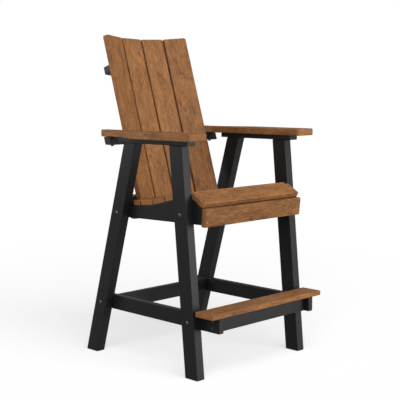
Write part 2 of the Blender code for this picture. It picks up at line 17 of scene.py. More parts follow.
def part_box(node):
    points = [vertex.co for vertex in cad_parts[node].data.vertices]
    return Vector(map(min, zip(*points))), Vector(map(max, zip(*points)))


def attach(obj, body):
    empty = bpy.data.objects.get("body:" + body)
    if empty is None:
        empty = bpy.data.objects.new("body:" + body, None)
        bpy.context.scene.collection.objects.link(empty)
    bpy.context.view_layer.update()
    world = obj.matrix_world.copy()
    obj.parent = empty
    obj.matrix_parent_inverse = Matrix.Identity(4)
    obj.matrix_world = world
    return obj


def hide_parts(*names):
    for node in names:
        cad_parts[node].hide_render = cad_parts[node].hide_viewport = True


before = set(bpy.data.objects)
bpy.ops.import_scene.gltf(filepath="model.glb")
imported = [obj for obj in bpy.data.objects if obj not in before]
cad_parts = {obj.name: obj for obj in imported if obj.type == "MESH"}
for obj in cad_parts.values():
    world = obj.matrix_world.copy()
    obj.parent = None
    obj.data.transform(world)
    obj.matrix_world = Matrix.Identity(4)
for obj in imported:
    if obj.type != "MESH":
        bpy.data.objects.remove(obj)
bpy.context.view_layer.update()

MM = 0.001
SIDES = (("left", -1), ("right", 1))
RIGHT = Vector((1, 0, 0))
REARWARD = Vector((0, 1, 0))
UP = Vector((0, 0, 1))

# Edges and fits
CLEARANCE = 0.3 * MM
EASE = 3.0 * MM
EASE_STEPS = 4
EDGE_SKIN = 0.02 * MM
EASED_ANGLE = math.radians(50)
SHARP_ANGLE = math.radians(35)
ARC_STEP = math.radians(6)
BRACE_ARC_STEP = math.radians(1)

# Legs
FRAME_WIDTH = 641.6 * MM
LEG_THICKNESS = 40.2 * MM
LEG_WIDTH = 67.6 * MM
LEG_HEIGHT = 895.8 * MM
FRONT_FOOT_Y = 32.4 * MM
FRONT_LEAN = math.radians(5.32)
REAR_LEAN = math.radians(-16.2)
REAR_LEG_BEHIND_BACK = 8.3 * MM

# Arms and their cleats
CLEAT_THICKNESS = 19.05 * MM
CLEAT_OVERHANG = 33.9 * MM
CLEAT_LIP = 3.0 * MM
ARM_THICKNESS = 28.6 * MM
ARM_WIDTH = 103.0 * MM
ARM_REAR_WIDTH = 38.0 * MM
ARM_FRONT_Y = -5.1 * MM
ARM_TO_BACK = 30.3 * MM
ARM_PAST_BOLT = 52.0 * MM
ARM_TAPER_START = 301.0 * MM
ARM_TAPER_END = 508.0 * MM
ARM_TAPER_STEPS = 24
ARM_FRONT_CORNER = 12.5 * MM
ARM_REAR_CORNER = 6.0 * MM
ARM_EASE = 5.0 * MM

# Lower rails, stretchers and footrest
RAIL_THICKNESS = 25.4 * MM
LOWER_RAIL_HEIGHT = 60.8 * MM
LOWER_RAIL_BOTTOM = 189.8 * MM
LOWER_RAIL_REACH = 131.0 * MM
LOWER_RAIL_TAIL = 16.5 * MM
FRONT_STRETCHER_INSET = 25.1 * MM
REAR_STRETCHER_INSET = 49.6 * MM
FOOTREST_THICKNESS = 19.6 * MM
FOOTREST_DEPTH = 94.1 * MM
FOOTREST_OVERHANG = 8.5 * MM
FOOTREST_LIP = 1.6 * MM

# Seat
SEAT_SLAT_THICKNESS = 21.2 * MM
SEAT_SLAT_WIDTH = 69.2 * MM
SEAT_SLAT_GAP = 4.5 * MM
SEAT_PEAK_Y = 73.0 * MM
SEAT_PEAK_Z = 697.3 * MM
SEAT_SLOPES = tuple(math.radians(slope) for slope in (30.4, -8.2, -14.0, -14.0, -5.3, -5.3))
REAR_SLAT_WIDTH = 85.1 * MM
REAR_SLAT_END_WIDTH = 40.0 * MM
REAR_SLAT_TO_BACK = 4.0 * MM
SEAT_SHELF_START = 47.0 * MM
SEAT_RAIL_FRONT_DEPTH = 100.9 * MM
SEAT_RAIL_REAR_DEPTH = 110.5 * MM
SEAT_RAIL_END_INSET = 3.0 * MM
SEAT_REAR_RAIL_HEIGHT = 57.0 * MM
APRON_THICKNESS = 20.6 * MM
APRON_LEAN = math.radians(5.8)
APRON_BEFORE_PEAK = 55.7 * MM
APRON_BELOW_PEAK = 107.3 * MM

# Back
RECLINE = math.radians(17.0)
BACK_HEIGHT = 718.7 * MM
BACK_RADIUS = 610.0 * MM
BACK_SLATS = 4
BACK_SLAT_WIDTH = 111.2 * MM
BACK_SLAT_GAP = 8.0 * MM
BACK_SLAT_THICKNESS = 22.2 * MM
BACK_TOP_CORNER = 10.0 * MM
BACK_TOP_TRIM = 0.45 * MM
BRACE_THICKNESS = 32.6 * MM
BRACE_DEPTH = 37.8 * MM
UPPER_BRACE_LENGTH = 457.0 * MM
UPPER_BRACE_BELOW_TOP = 125.0 * MM
MIDDLE_BRACE_PAST_BOLT = 26.0 * MM
MIDDLE_BRACE_EAR = 23.0 * MM

# Bolts and nuts
TURNED_SIDES = 48
BOLT_RADIUS = 3.2 * MM
BOLT_HEAD_RADIUS = 7.0 * MM
BOLT_HEAD_HEIGHT = 3.6 * MM
BOLT_HEAD_RIM = 0.9 * MM
BOLT_HEAD_EDGE = 0.2 * MM
BOLT_DOME_STEPS = (0.5, 0.65, 0.78, 0.88, 0.95, 1.0)
BOLT_SOCKET_FLATS = 4.4 * MM
BOLT_SOCKET_DEPTH = 1.9 * MM
BOLT_SOCKET_TIP = 0.4 * MM
BOLT_SOCKET_RIM = 0.15 * MM
BOLT_TIP = 2.5 * MM
BOLT_CHAMFER = 0.8 * MM
THREAD_PITCH = 1.25 * MM
THREAD_DEPTH = 0.45 * MM
THREAD_CREST = 0.25
THREAD_ROOT = 0.6
NUT_ACROSS_FLATS = 11.1 * MM
NUT_HEIGHT = 5.6 * MM
NUT_CHAMFER = 0.8 * MM
SEAT_BOLT_FRONT_BELOW_PEAK = 64.5 * MM
SEAT_BOLT_REAR_BELOW_PEAK = 87.0 * MM
ARM_BOLT_FROM_EDGE = 19.4 * MM
ARM_BOLT_DEPTH = 20.0 * MM
ARM_BOLT_HEAD_RADIUS = 5.6 * MM
ARM_BOLT_HEAD_HEIGHT = 5.0 * MM
ARM_BOLT_HEAD_FACE = 0.9
ARM_BOLT_HEAD_EDGE = 0.1 * MM
ARM_BOLT_HEAD_CHAMFER = 0.8 * MM
ARM_BOLT_HEAD_GAP = 0.05 * MM
ARM_BOLT_WASHER_RADIUS = 8.0 * MM
ARM_BOLT_WASHER = 1.6 * MM
ARM_BOLT_WASHER_EDGE = 0.3 * MM

# Countersunk screws and the pockets they sit in
SCREW_HEAD_RADIUS = 4.4 * MM
SCREW_SHANK_RADIUS = 2.1 * MM
SCREW_BELOW_FACE = 0.25 * MM
SCREW_CONE = 2.8 * MM
SCREW_STUB = 5.0 * MM
SCREW_RECESS_RADIUS = 1.75 * MM
SCREW_RECESS_DEPTH = 1.5 * MM
SCREW_RECESS_RIM = 0.1 * MM
SCREW_RECESS_WALL = 0.9
SCREW_RECESS_FLOOR = 0.8
SCREW_LOBE = 0.16
SCREW_HEAD_FLAT_EDGE = 0.3 * MM
SCREW_HEAD_RIM = 0.25 * MM
POCKET_ABOVE = 1.0 * MM
POCKET_MARGIN = 0.25 * MM
SLAT_SCREW_X = 266.0 * MM
SLAT_SCREW_INSET = 19.0 * MM
BRACE_SCREW_OFFSET = 22.0 * MM
RAIL_SCREW_INSET = 16.5 * MM

# Places that follow from the sizes above
LEG_INNER_X = FRAME_WIDTH / 2 - LEG_THICKNESS
LEG_BORE = 4 * LEG_THICKNESS
RAIL_OUTER_X = LEG_INNER_X - CLEARANCE
RAIL_INNER_X = RAIL_OUTER_X - RAIL_THICKNESS
BETWEEN_RAILS = 2 * (RAIL_INNER_X - CLEARANCE)
LOWER_RAIL_TOP = LOWER_RAIL_BOTTOM + LOWER_RAIL_HEIGHT
LOWER_BOLT_Z = LOWER_RAIL_BOTTOM + LOWER_RAIL_HEIGHT / 2
CLEAT_BOTTOM = LEG_HEIGHT + CLEARANCE
ARM_BOTTOM = CLEAT_BOTTOM + CLEAT_THICKNESS + CLEARANCE
SEAT_PITCH = SEAT_SLAT_WIDTH + SEAT_SLAT_GAP
SEAT_RAIL_FRONT_BOTTOM = SEAT_PEAK_Z - SEAT_RAIL_FRONT_DEPTH
SEAT_RAIL_REAR_BOTTOM = SEAT_PEAK_Z - SEAT_RAIL_REAR_DEPTH
SEAT_BOLT_FRONT_Z = SEAT_PEAK_Z - SEAT_BOLT_FRONT_BELOW_PEAK
SEAT_BOLT_REAR_Z = SEAT_PEAK_Z - SEAT_BOLT_REAR_BELOW_PEAK
APRON_BOTTOM_Y = SEAT_PEAK_Y - APRON_BEFORE_PEAK
APRON_BOTTOM_Z = SEAT_PEAK_Z - APRON_BELOW_PEAK
UP_BACK = Vector((0, math.sin(RECLINE), math.cos(RECLINE)))
BEHIND_BACK = Vector((0, math.cos(RECLINE), -math.sin(RECLINE)))
SLAT_HALF_ANGLE = math.atan((BACK_SLAT_WIDTH + BACK_SLAT_GAP) / 2 / BACK_RADIUS)
SLAT_REAR_RADIUS = BACK_RADIUS + BACK_SLAT_THICKNESS
BRACE_FRONT_RADIUS = math.hypot(SLAT_REAR_RADIUS, BACK_SLAT_WIDTH / 2 - EASE) + CLEARANCE
BRACE_REAR_RADIUS = BRACE_FRONT_RADIUS + BRACE_DEPTH
END_SLAT_ANGLE = (BACK_SLATS - 1) * SLAT_HALF_ANGLE
BACK_HALF_WIDTH = SLAT_REAR_RADIUS * math.sin(END_SLAT_ANGLE) + BACK_SLAT_WIDTH / 2 * math.cos(END_SLAT_ANGLE)
ARM_INNER_X = BACK_HALF_WIDTH + ARM_TO_BACK
ARM_BOLT_X = ARM_INNER_X + ARM_BOLT_FROM_EDGE

# Lighter and darker boards, as shares of the lumber's own colour: partly each board's own tone, and partly
# painted shade that darkens boards catching less light, such as the apron and the left arm
BOARD_TONE_AND_SHADE = {
    "seat_apron": -0.17,
    "back_slat_1": -0.05,
    "back_slat_2": 0.03,
    "back_slat_3": 0.02,
    "back_slat_4": -0.08,
    "footrest": -0.03,
    "arm_left": -0.07,
}

# Grain: sizes along, across and through a board, and finer grain as so many to a streak
GRAIN_SHIFT = 4.0
BEND_SIZE = (0.16, 0.05, 0.05)
BEND_REACH = 0.012
STREAKS_IN_TONE = (1.1, 4.5, 4.5)
FIBRE_COUNT = (4.0, 1.8, 1.8)
LINE_COUNT = (4.0, 3.2, 3.2)
FLECK_COUNT = (4.6, 1.8, 1.8)
FLECK_STEP = 0.13
FLECK_PATCH_SIZE = (0.09, 0.04, 0.04)
FLECK_PATCH_STEP = (0.4, 0.62)
KNOT_SIZE = (0.06, 0.022, 0.022)
KNOT_STEP = 0.1
KNOT_FIBRE_STEP = (0.3, 0.6)
EDGE_STEP = (0.33, 0.62)
RUBBED_STEP = (0.42, 0.66)
SAWN_STEP = (0.8, 0.92)

# Finishes: colours as seen on a screen, tints as a share and a colour, bumps as a strength and a depth
LUMBER_SPECULAR = 0.09
BROWN_STREAKS = ((0.30, (114, 79, 52)), (0.44, (138, 94, 58)), (0.56, (151, 104, 64)), (0.70, (169, 116, 66)))
BROWN_TONE_SHARE = 0.55
BROWN_FIBRES = (0.4, 1.6)
BROWN_LINES = (0.3, 1.7)
GREYED_STEP = (0.5, 0.75)
GREYED_BROWN = (0.35, (134, 97, 71))
FLECK_BROWN = (0.8, (72, 56, 43))
KNOT_BROWN = (0.85, (68, 56, 46))
SAWN_BROWN = (0.3, (146, 100, 56))
RUBBED_BROWN = (0.3, (166, 118, 72))
BROWN_ROUGHNESS = (0.45, 0.65)
BROWN_FIBRE_HEIGHT = 0.6
BROWN_FLECK_DEPTH = 0.7
BROWN_STREAK_HEIGHT = 0.8
BROWN_BUMP = (0.5, 0.6 * MM)
BLACK_STREAK_SHARE = 0.5
BLACK_STEP = (0.3, 0.7)
BLACK_SHADES = ((33, 33, 33), (35, 35, 35))
FLECK_BLACK = (0.25, (30, 30, 30))
SAWN_BLACK = (0.5, (40, 40, 39))
RUBBED_BLACK = (0.35, (58, 57, 56))
BLACK_ROUGHNESS = (0.345, 0.375)
BLACK_STREAK_HEIGHT = 0.6
BLACK_SPECK_HEIGHT = 0.4
BLACK_BUMP = (0.1, 0.2 * MM)
STEEL_SPECULAR = 0.5
STEEL_STEP = (0.35, 0.7)
STEEL_SHADES = ((76, 76, 76), (108, 107, 106))
STEEL_ROUGHNESS = (0.35, 0.6)
STEEL_BUMP = (0.2, 0.1 * MM)

# Camera, light and floor; a panel is its place and its size
CAMERA_PLACE = (-2.81344, -2.52487, 1.10903)
CAMERA_YAW = math.radians(-44.8427)
CAMERA_PITCH = math.radians(-6.6065)
CAMERA_ROLL = math.radians(-0.1538)
CAMERA_LENS = 86.176
CAMERA_SENSOR = 36.0
CAMERA_REACH = 200.0
SUN_PLACE = (0.0, 0.0, 3.0)
KEY_FROM = (-0.56, -0.66, 0.50)
KEY_STRENGTH = 2.28
KEY_SPREAD = math.radians(115)
FLOOR_LIGHT_FROM = (-0.37, -0.78, 0.46)
FLOOR_LIGHT_STRENGTH = 2.75
FLOOR_LIGHT_SPREAD = math.radians(86)
PANEL_AIM = (0.0, 0.0, 0.75)
FRONT_PANEL = ((1.75, -3.08, 0.72), (1.95, 2.45))
FRONT_POWER = 122.0
FRONT_FILL = ((1.5, -2.9, 1.7), (1.95, 1.6))
FRONT_FILL_POWER = 88.0
REAR_PANEL = ((-2.3, 2.1, 1.68), (2.2, 1.7))
REAR_POWER = 56.0
AMBIENT = 0.03
MIRRORED = 0.38
FLOOR_SIZE = 60.0
FLOOR_DROP = 0.5 * MM
FLOOR_SEEN = 0.8
FLOOR_BOUNCE = 0.55
FLOOR_GLOW = 0.632
FLOOR_FAR_GLOW = 0.645
FLOOR_FADE = (1.8, 3.8)


# Places, outlines and turned forms
def placed(origin, across, along):
    """The matrix of a frame with its own X along across, its Y along along and its Z square to both."""
    across = Vector(across)
    along = Vector(along)
    turned_frame = Matrix((across, along, across.cross(along))).transposed().to_4x4()
    turned_frame.translation = Vector(origin)
    return turned_frame


def facing(origin, outward):
    """The matrix of a frame at a point of a surface, with its own Z along the outward direction."""
    turned_frame = Vector(outward).to_track_quat("Z", "Y").to_matrix().to_4x4()
    turned_frame.translation = Vector(origin)
    return turned_frame


def arc_points(centre, radius, start, end, step=ARC_STEP):
    """Points along an arc, both ends included."""
    count = max(1, math.ceil(abs(end - start) / step))
    angles = [start + (end - start) * index / count for index in range(count + 1)]
    return [(centre[0] + radius * math.cos(a), centre[1] + radius * math.sin(a)) for a in angles]


def rounded_rectangle(low, high, radii):
    """A rectangle's outline, anticlockwise from its low corner, with a radius or zero for each corner."""
    corners = ((low[0], low[1]), (high[0], low[1]), (high[0], high[1]), (low[0], high[1]))
    inward = ((1, 1), (-1, 1), (-1, -1), (1, -1))
    outline = []
    for index, (corner, turn, radius) in enumerate(zip(corners, inward, radii)):
        if radius == 0:
            outline.append(corner)
            continue
        centre = (corner[0] + turn[0] * radius, corner[1] + turn[1] * radius)
        start = math.pi + index * math.pi / 2
        outline += arc_points(centre, radius, start, start + math.pi / 2)
    return outline


def rectangle(low, high):
    return rounded_rectangle(low, high, (0, 0, 0, 0))


def add_rings(shape, rings, closed=False):
    """Joins rings of points, one after the other; a ring of one point closes an end."""
    corners = [[shape.verts.new(point) for point in ring] for ring in rings]
    pairs = list(zip(corners, corners[1:]))
    if closed:
        pairs.append((corners[-1], corners[0]))
    for upper, lower in pairs:
        count = max(len(upper), len(lower))
        for index in range(count):
            following = (index + 1) % count
            quad = [upper[index % len(upper)], lower[index % len(lower)]]
            quad += [lower[following % len(lower)], upper[following % len(upper)]]
            shape.faces.new(dict.fromkeys(quad))


def ring(radius, height, sides=TURNED_SIDES):
    """Points round the axis; the radius is a number or a function of the angle."""
    points = []
    for index in range(sides):
        angle = 2 * math.pi * index / sides
        reach = radius(angle) if callable(radius) else radius
        points.append((reach * math.cos(angle), reach * math.sin(angle), height))
    return points


def hexagon(across_flats, limit=1.0):
    """The radius of a hexagon at an angle, no further out than a limit."""
    def radius(angle):
        from_flat = (angle + math.pi / 6) % (math.pi / 3) - math.pi / 6
        return min(across_flats / 2 / math.cos(from_flat), limit)
    return radius


def six_lobes(radius):
    """The radius of a six-lobed screw recess at an angle."""
    return lambda angle: radius * (1 + SCREW_LOBE * math.cos(6 * angle))


# Making a piece
def to_model(matrix):
    """A matrix of the chair's layout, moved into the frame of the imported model."""
    return Matrix.Translation((0, DEPTH_SHIFT, 0)) @ matrix


def apply_modifiers(piece):
    graph = bpy.context.evaluated_depsgraph_get()
    finished = bpy.data.meshes.new_from_object(piece.evaluated_get(graph))
    rough = piece.data
    piece.modifiers.clear()
    piece.data = finished
    bpy.data.meshes.remove(rough)


def smooth_normals(piece):
    """Flat faces stay flat and rounded edges run smoothly into them."""
    piece.data.shade_smooth()
    piece.data.set_sharp_from_angle(angle=SHARP_ANGLE)
    weighted = piece.modifiers.new("flat_faces", "WEIGHTED_NORMAL")
    weighted.keep_sharp = True
    apply_modifiers(piece)


def add_object(name, shape, matrix):
    bmesh.ops.recalc_face_normals(shape, faces=shape.faces[:])
    mesh = bpy.data.meshes.new(name)
    shape.to_mesh(mesh)
    shape.free()
    piece = bpy.data.objects.new(name, mesh)
    bpy.context.scene.collection.objects.link(piece)
    piece.matrix_world = matrix
    return piece


def dress(piece, material, node=None):
    """Gives a finished piece its material and its place in the table of pieces."""
    piece.data.name = piece.name
    piece.data.materials.clear()
    piece.data.materials.append(material)
    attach(piece, "root")
    if node:
        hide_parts(node)
    return piece


def mark_board(mesh, name, thickness, ease):
    """Stores on a board's points where they lie in its grain, its rounded edges, sawn ends and tone, the tone
    being partly painted shade.

    The mesh lies along its own X, and each board has its own draw of the grain.
    """
    def edge(point):
        """How far round an eased edge a point lies; the rims of holes don't count."""
        depth = thickness / 2 - abs(point.co.z)
        if not EDGE_SKIN < depth < ease - EDGE_SKIN:
            return 0.0
        return min(abs(point.normal.z), math.hypot(point.normal.x, point.normal.y))

    draw = random.Random(name)
    shift = Vector([draw.uniform(-GRAIN_SHIFT, GRAIN_SHIFT) for _ in range(3)])
    places = [value for point in mesh.vertices for value in point.co + shift]
    marks = {
        "board_edge": [edge(point) for point in mesh.vertices],
        "board_end": [abs(point.normal.x) for point in mesh.vertices],
        # the board's tone, partly its own colour and partly painted shade
        "board_tone_and_shade": [BOARD_TONE_AND_SHADE.get(name, 0.0)] * len(mesh.vertices),
    }
    mesh.attributes.new("board_place", "FLOAT_VECTOR", "POINT").data.foreach_set("vector", places)
    for label, values in marks.items():
        mesh.attributes.new(label, "FLOAT", "POINT").data.foreach_set("value", values)


def add_cutter(name, shapes):
    """One hidden solid for all the holes of a board; shapes are (rings, matrix) pairs."""
    shape = bmesh.new()
    for rings, matrix in shapes:
        placed_rings = [[matrix @ Vector(point) for point in points] for points in rings]
        add_rings(shape, placed_rings)
    return add_object(name, shape, Matrix.Identity(4))


def pocket_rings():
    """The countersunk pocket of a screw, from above the face down."""
    sides = TURNED_SIDES // 2
    wide = SCREW_HEAD_RADIUS + POCKET_MARGIN
    narrow = SCREW_SHANK_RADIUS + POCKET_MARGIN
    floor = SCREW_BELOW_FACE + SCREW_STUB + POCKET_MARGIN
    return [
        [(0, 0, POCKET_ABOVE)],
        ring(wide, POCKET_ABOVE, sides),
        ring(wide, -2 * SCREW_BELOW_FACE, sides),
        ring(narrow, -SCREW_BELOW_FACE - SCREW_CONE - POCKET_MARGIN, sides),
        ring(narrow, -floor, sides),
        [(0, 0, -floor)],
    ]


def bore_rings(length):
    """A bolt's hole, half its length to both sides."""
    radius = BOLT_RADIUS + CLEARANCE
    return [[(0, 0, length / 2)], ring(radius, length / 2), ring(radius, -length / 2), [(0, 0, -length / 2)]]


def screw_rings():
    """A countersunk screw head with a six-lobed recess, and the first of its shank."""
    top = -SCREW_BELOW_FACE
    floor = six_lobes(SCREW_RECESS_FLOOR * SCREW_RECESS_RADIUS)
    return [
        [(0, 0, top - SCREW_RECESS_DEPTH)],
        ring(floor, top - SCREW_RECESS_WALL * SCREW_RECESS_DEPTH),
        ring(six_lobes(SCREW_RECESS_RADIUS), top - SCREW_RECESS_RIM),
        ring(six_lobes(SCREW_RECESS_RADIUS + SCREW_RECESS_RIM), top),
        ring(SCREW_HEAD_RADIUS - SCREW_HEAD_FLAT_EDGE, top),
        ring(SCREW_HEAD_RADIUS, top - SCREW_HEAD_RIM),
        ring(SCREW_SHANK_RADIUS, top - SCREW_CONE),
        ring(SCREW_SHANK_RADIUS, top - SCREW_STUB),
        [(0, 0, top - SCREW_STUB)],
    ]


def add_screws(node, screws, steel):
    """The screws of one board, each turned by its own small angle."""
    draw = random.Random(f"screws_{node}")
    shape = bmesh.new()
    for matrix in screws:
        turned = matrix @ Matrix.Rotation(draw.uniform(0, math.pi / 3), 4, "Z")
        add_rings(shape, [[turned @ Vector(point) for point in points] for points in screw_rings()])
    piece = add_object(f"screws_{node}", shape, to_model(Matrix.Identity(4)))
    smooth_normals(piece)
    dress(piece, steel)


def add_board(node, outline, thickness, lumber, place, grain, slant=0.0, screws=(), bores=(), ease=EASE):
    """A board with its outline in the XY plane of its place and its thickness along Z, edges rounded.

    The grain is a direction in the outline's plane, and slant moves the far face along Y. Screws are the
    matrices of countersunk heads and bores the (matrix, length) of bolt holes, both in the chair's layout.
    """
    material, slot, steel = lumber
    shape = bmesh.new()
    near_face = shape.faces.new([shape.verts.new((x, y, 0)) for x, y in outline])
    grown = bmesh.ops.extrude_face_region(shape, geom=[near_face])["geom"]
    far_corners = [item for item in grown if isinstance(item, bmesh.types.BMVert)]
    bmesh.ops.translate(shape, vec=(0, slant, thickness), verts=far_corners)
    middle_x = (min(x for x, y in outline) + max(x for x, y in outline)) / 2
    middle_y = (min(y for x, y in outline) + max(y for x, y in outline)) / 2
    along = Vector((grain[0], grain[1], 0)).normalized()
    own_frame = placed((middle_x, middle_y + slant / 2, thickness / 2), along, Vector((-along.y, along.x, 0)))
    bmesh.ops.transform(shape, matrix=own_frame.inverted(), verts=shape.verts[:])
    stand = place @ own_frame
    board = add_object(f"board_{node}", shape, stand)
    eased = board.modifiers.new("eased_edges", "BEVEL")
    eased.width = ease
    eased.segments = EASE_STEPS
    eased.limit_method = "ANGLE"
    eased.angle_limit = EASED_ANGLE
    eased.use_clamp_overlap = False
    holes = [(pocket_rings(), matrix) for matrix in screws]
    holes += [(bore_rings(length), matrix) for matrix, length in bores]
    if holes:
        cutter = add_cutter(f"holes_{node}", holes)
        bored = board.modifiers.new("holes", "BOOLEAN")
        bored.operation = "DIFFERENCE"
        bored.solver = "EXACT"
        bored.object = cutter
    apply_modifiers(board)
    if holes:
        bpy.data.objects.remove(cutter, do_unlink=True)
    mark_board(board.data, node, thickness, ease)
    board.data.transform(stand.to_3x3().to_4x4())
    board.matrix_world = to_model(Matrix.Translation(stand.translation))
    smooth_normals(board)
    dress(board, material, node)
    if screws:
        add_screws(node, screws, steel)
    return board


# Layout of the chair
def front_leg_y(z):
    return FRONT_FOOT_Y + math.tan(FRONT_LEAN) * z


def rear_leg_y(z):
    return back_foot_y() + REAR_LEG_BEHIND_BACK + math.tan(REAR_LEAN) * (z - SEAT_BOLT_REAR_Z)


def lower_rail_front_y():
    return front_leg_y(LOWER_BOLT_Z) - LOWER_RAIL_REACH


def lower_rail_rear_y():
    return rear_leg_y(LOWER_BOLT_Z) + LOWER_RAIL_TAIL


def footrest_front_y():
    return lower_rail_front_y() - FOOTREST_OVERHANG


def slope_direction(slope):
    return Vector((math.cos(slope), math.sin(slope)))


def seat_contour():
    """Corners (Y, Z) of the seat rails' top edge, with one straight seat for each slat."""
    peak = Vector((SEAT_PEAK_Y, SEAT_PEAK_Z))
    corners = [peak - SEAT_PITCH * slope_direction(SEAT_SLOPES[0]), peak]
    for slope in SEAT_SLOPES[1:-1]:
        corners.append(corners[-1] + SEAT_PITCH * slope_direction(slope))
    corners.append(corners[-1] + SEAT_SHELF_START * slope_direction(SEAT_SLOPES[-1]))
    return corners


def slat_start(index):
    """The lower front edge (Y, Z) of a seat slat."""
    along = slope_direction(SEAT_SLOPES[index])
    above = Vector((-along.y, along.x))
    return seat_contour()[index] + along * SEAT_SLAT_GAP / 2 + above * CLEARANCE


def seat_shelf_z():
    return seat_contour()[-1].y


def rear_slat_end():
    """The lower rear edge (Y, Z) of the rear slat at its middle."""
    return seat_contour()[-2] + (SEAT_SLAT_GAP / 2 + REAR_SLAT_WIDTH) * slope_direction(SEAT_SLOPES[-1])


def back_foot_y():
    """Where the front of the back, carried on down its slope, meets the height of the rails' shelf."""
    end = rear_slat_end()
    return end.x + REAR_SLAT_TO_BACK + math.tan(RECLINE) * (seat_shelf_z() - end.y)


def back_front_y(z):
    """The front of the back at its middle, at a height."""
    return back_foot_y() + math.tan(RECLINE) * (z - seat_shelf_z())


def back_point(across, behind, up):
    """A point of the leaning back: across, behind the middle of its front and up its slope from the shelf."""
    foot = Vector((across, back_foot_y(), seat_shelf_z()))
    return foot + behind * BEHIND_BACK + up * UP_BACK


def middle_brace_bottom():
    return ARM_BOTTOM - CLEARANCE - BRACE_THICKNESS


def arm_bolt_y():
    """The middle of the middle brace's ears, half way up them."""
    ear_middle = (BRACE_DEPTH / 2 - MIDDLE_BRACE_EAR) / math.cos(RECLINE)
    return back_front_y(middle_brace_bottom() + BRACE_THICKNESS / 2) + ear_middle


def leg_joints():
    """Where bolts hold the rails to the legs: end, level, Y and Z."""
    return (
        ("front", "seat", front_leg_y(SEAT_BOLT_FRONT_Z), SEAT_BOLT_FRONT_Z),
        ("rear", "seat", rear_leg_y(SEAT_BOLT_REAR_Z), SEAT_BOLT_REAR_Z),
        ("front", "lower", front_leg_y(LOWER_BOLT_Z), LOWER_BOLT_Z),
        ("rear", "lower", rear_leg_y(LOWER_BOLT_Z), LOWER_BOLT_Z),
    )


def joint_bores(side, end=None, level=None):
    """The bolt holes of one leg or one rail."""
    chosen = [joint for joint in leg_joints() if end in (None, joint[0]) and level in (None, joint[1])]
    return [(facing((side * LEG_INNER_X, y, z), side * RIGHT), LEG_BORE) for _, _, y, z in chosen]


def arm_bores(side):
    length = BRACE_THICKNESS + ARM_BOLT_DEPTH + BOLT_TIP
    top = middle_brace_bottom() + BRACE_THICKNESS + ARM_BOLT_DEPTH
    return [(facing((side * ARM_BOLT_X, arm_bolt_y(), top - length / 2), UP), length)]


# Boards
def side_place(inner_x, thickness, side):
    """The place of a board in an upright plane along the chair's side: its outline is in Y and Z."""
    low_x = inner_x if side > 0 else -inner_x - thickness
    return placed((low_x, 0, 0), REARWARD, UP)


def add_legs(black):
    for end, leg_y, lean in (("front", front_leg_y, FRONT_LEAN), ("rear", rear_leg_y, REAR_LEAN)):
        half = LEG_WIDTH / 2 / math.cos(lean)
        foot_y, top_y = leg_y(0), leg_y(LEG_HEIGHT)
        outline = [(foot_y - half, 0), (foot_y + half, 0)]
        outline += [(top_y + half, LEG_HEIGHT), (top_y - half, LEG_HEIGHT)]
        for side_name, side in SIDES:
            place = side_place(LEG_INNER_X, LEG_THICKNESS, side)
            add_board(f"{end}_leg_{side_name}", outline, LEG_THICKNESS, black, place,
                      (math.sin(lean), math.cos(lean)), bores=joint_bores(side, end=end))


def add_cleats(black):
    """The flat boards across the tops of the legs, with screws up through them into the arms."""
    front_half = LEG_WIDTH / 2 / math.cos(FRONT_LEAN)
    rear_half = LEG_WIDTH / 2 / math.cos(REAR_LEAN)
    front_y = front_leg_y(LEG_HEIGHT) - front_half - CLEAT_OVERHANG
    rear_y = rear_leg_y(LEG_HEIGHT) + rear_half + CLEAT_OVERHANG
    half_width = LEG_THICKNESS / 2 + CLEAT_LIP
    outline = rectangle((-half_width, front_y), (half_width, rear_y))
    screw_places = (front_y + CLEAT_OVERHANG / 2, (front_y + rear_y) / 2, rear_y - CLEAT_OVERHANG / 2)
    for side_name, side in SIDES:
        middle_x = side * (LEG_INNER_X + LEG_THICKNESS / 2)
        place = placed((middle_x, 0, CLEAT_BOTTOM), RIGHT, REARWARD)
        screws = [facing((middle_x, y, CLEAT_BOTTOM), -UP) for y in screw_places]
        add_board(f"arm_cleat_{side_name}", outline, CLEAT_THICKNESS, black, place, (0, 1), screws=screws)


def arm_outline(side):
    """The arm from above, from its inner front corner round: wide in front, drawn in to a narrow rear end."""
    corner = ARM_FRONT_CORNER
    outline = arc_points((corner, corner), corner, math.pi, 1.5 * math.pi)
    outline += arc_points((ARM_WIDTH - corner, corner), corner, 1.5 * math.pi, 2 * math.pi)
    for index in range(ARM_TAPER_STEPS + 1):
        share = index / ARM_TAPER_STEPS
        wide = (1 + math.cos(math.pi * share)) / 2
        across = ARM_REAR_WIDTH + (ARM_WIDTH - ARM_REAR_WIDTH) * wide
        outline.append((across, ARM_TAPER_START + (ARM_TAPER_END - ARM_TAPER_START) * share))
    corner = ARM_REAR_CORNER
    rear = arm_bolt_y() + ARM_PAST_BOLT - ARM_FRONT_Y - corner
    outline += arc_points((ARM_REAR_WIDTH - corner, rear), corner, 0, math.pi / 2)
    outline += arc_points((corner, rear), corner, math.pi / 2, math.pi)
    return [(side * (ARM_INNER_X + across), ARM_FRONT_Y + along) for across, along in outline]


def add_arms(brown):
    place = placed((0, 0, ARM_BOTTOM), RIGHT, REARWARD)
    for side_name, side in SIDES:
        add_board(f"arm_{side_name}", arm_outline(side), ARM_THICKNESS, brown, place, (0, 1),
                  bores=arm_bores(side), ease=ARM_EASE)


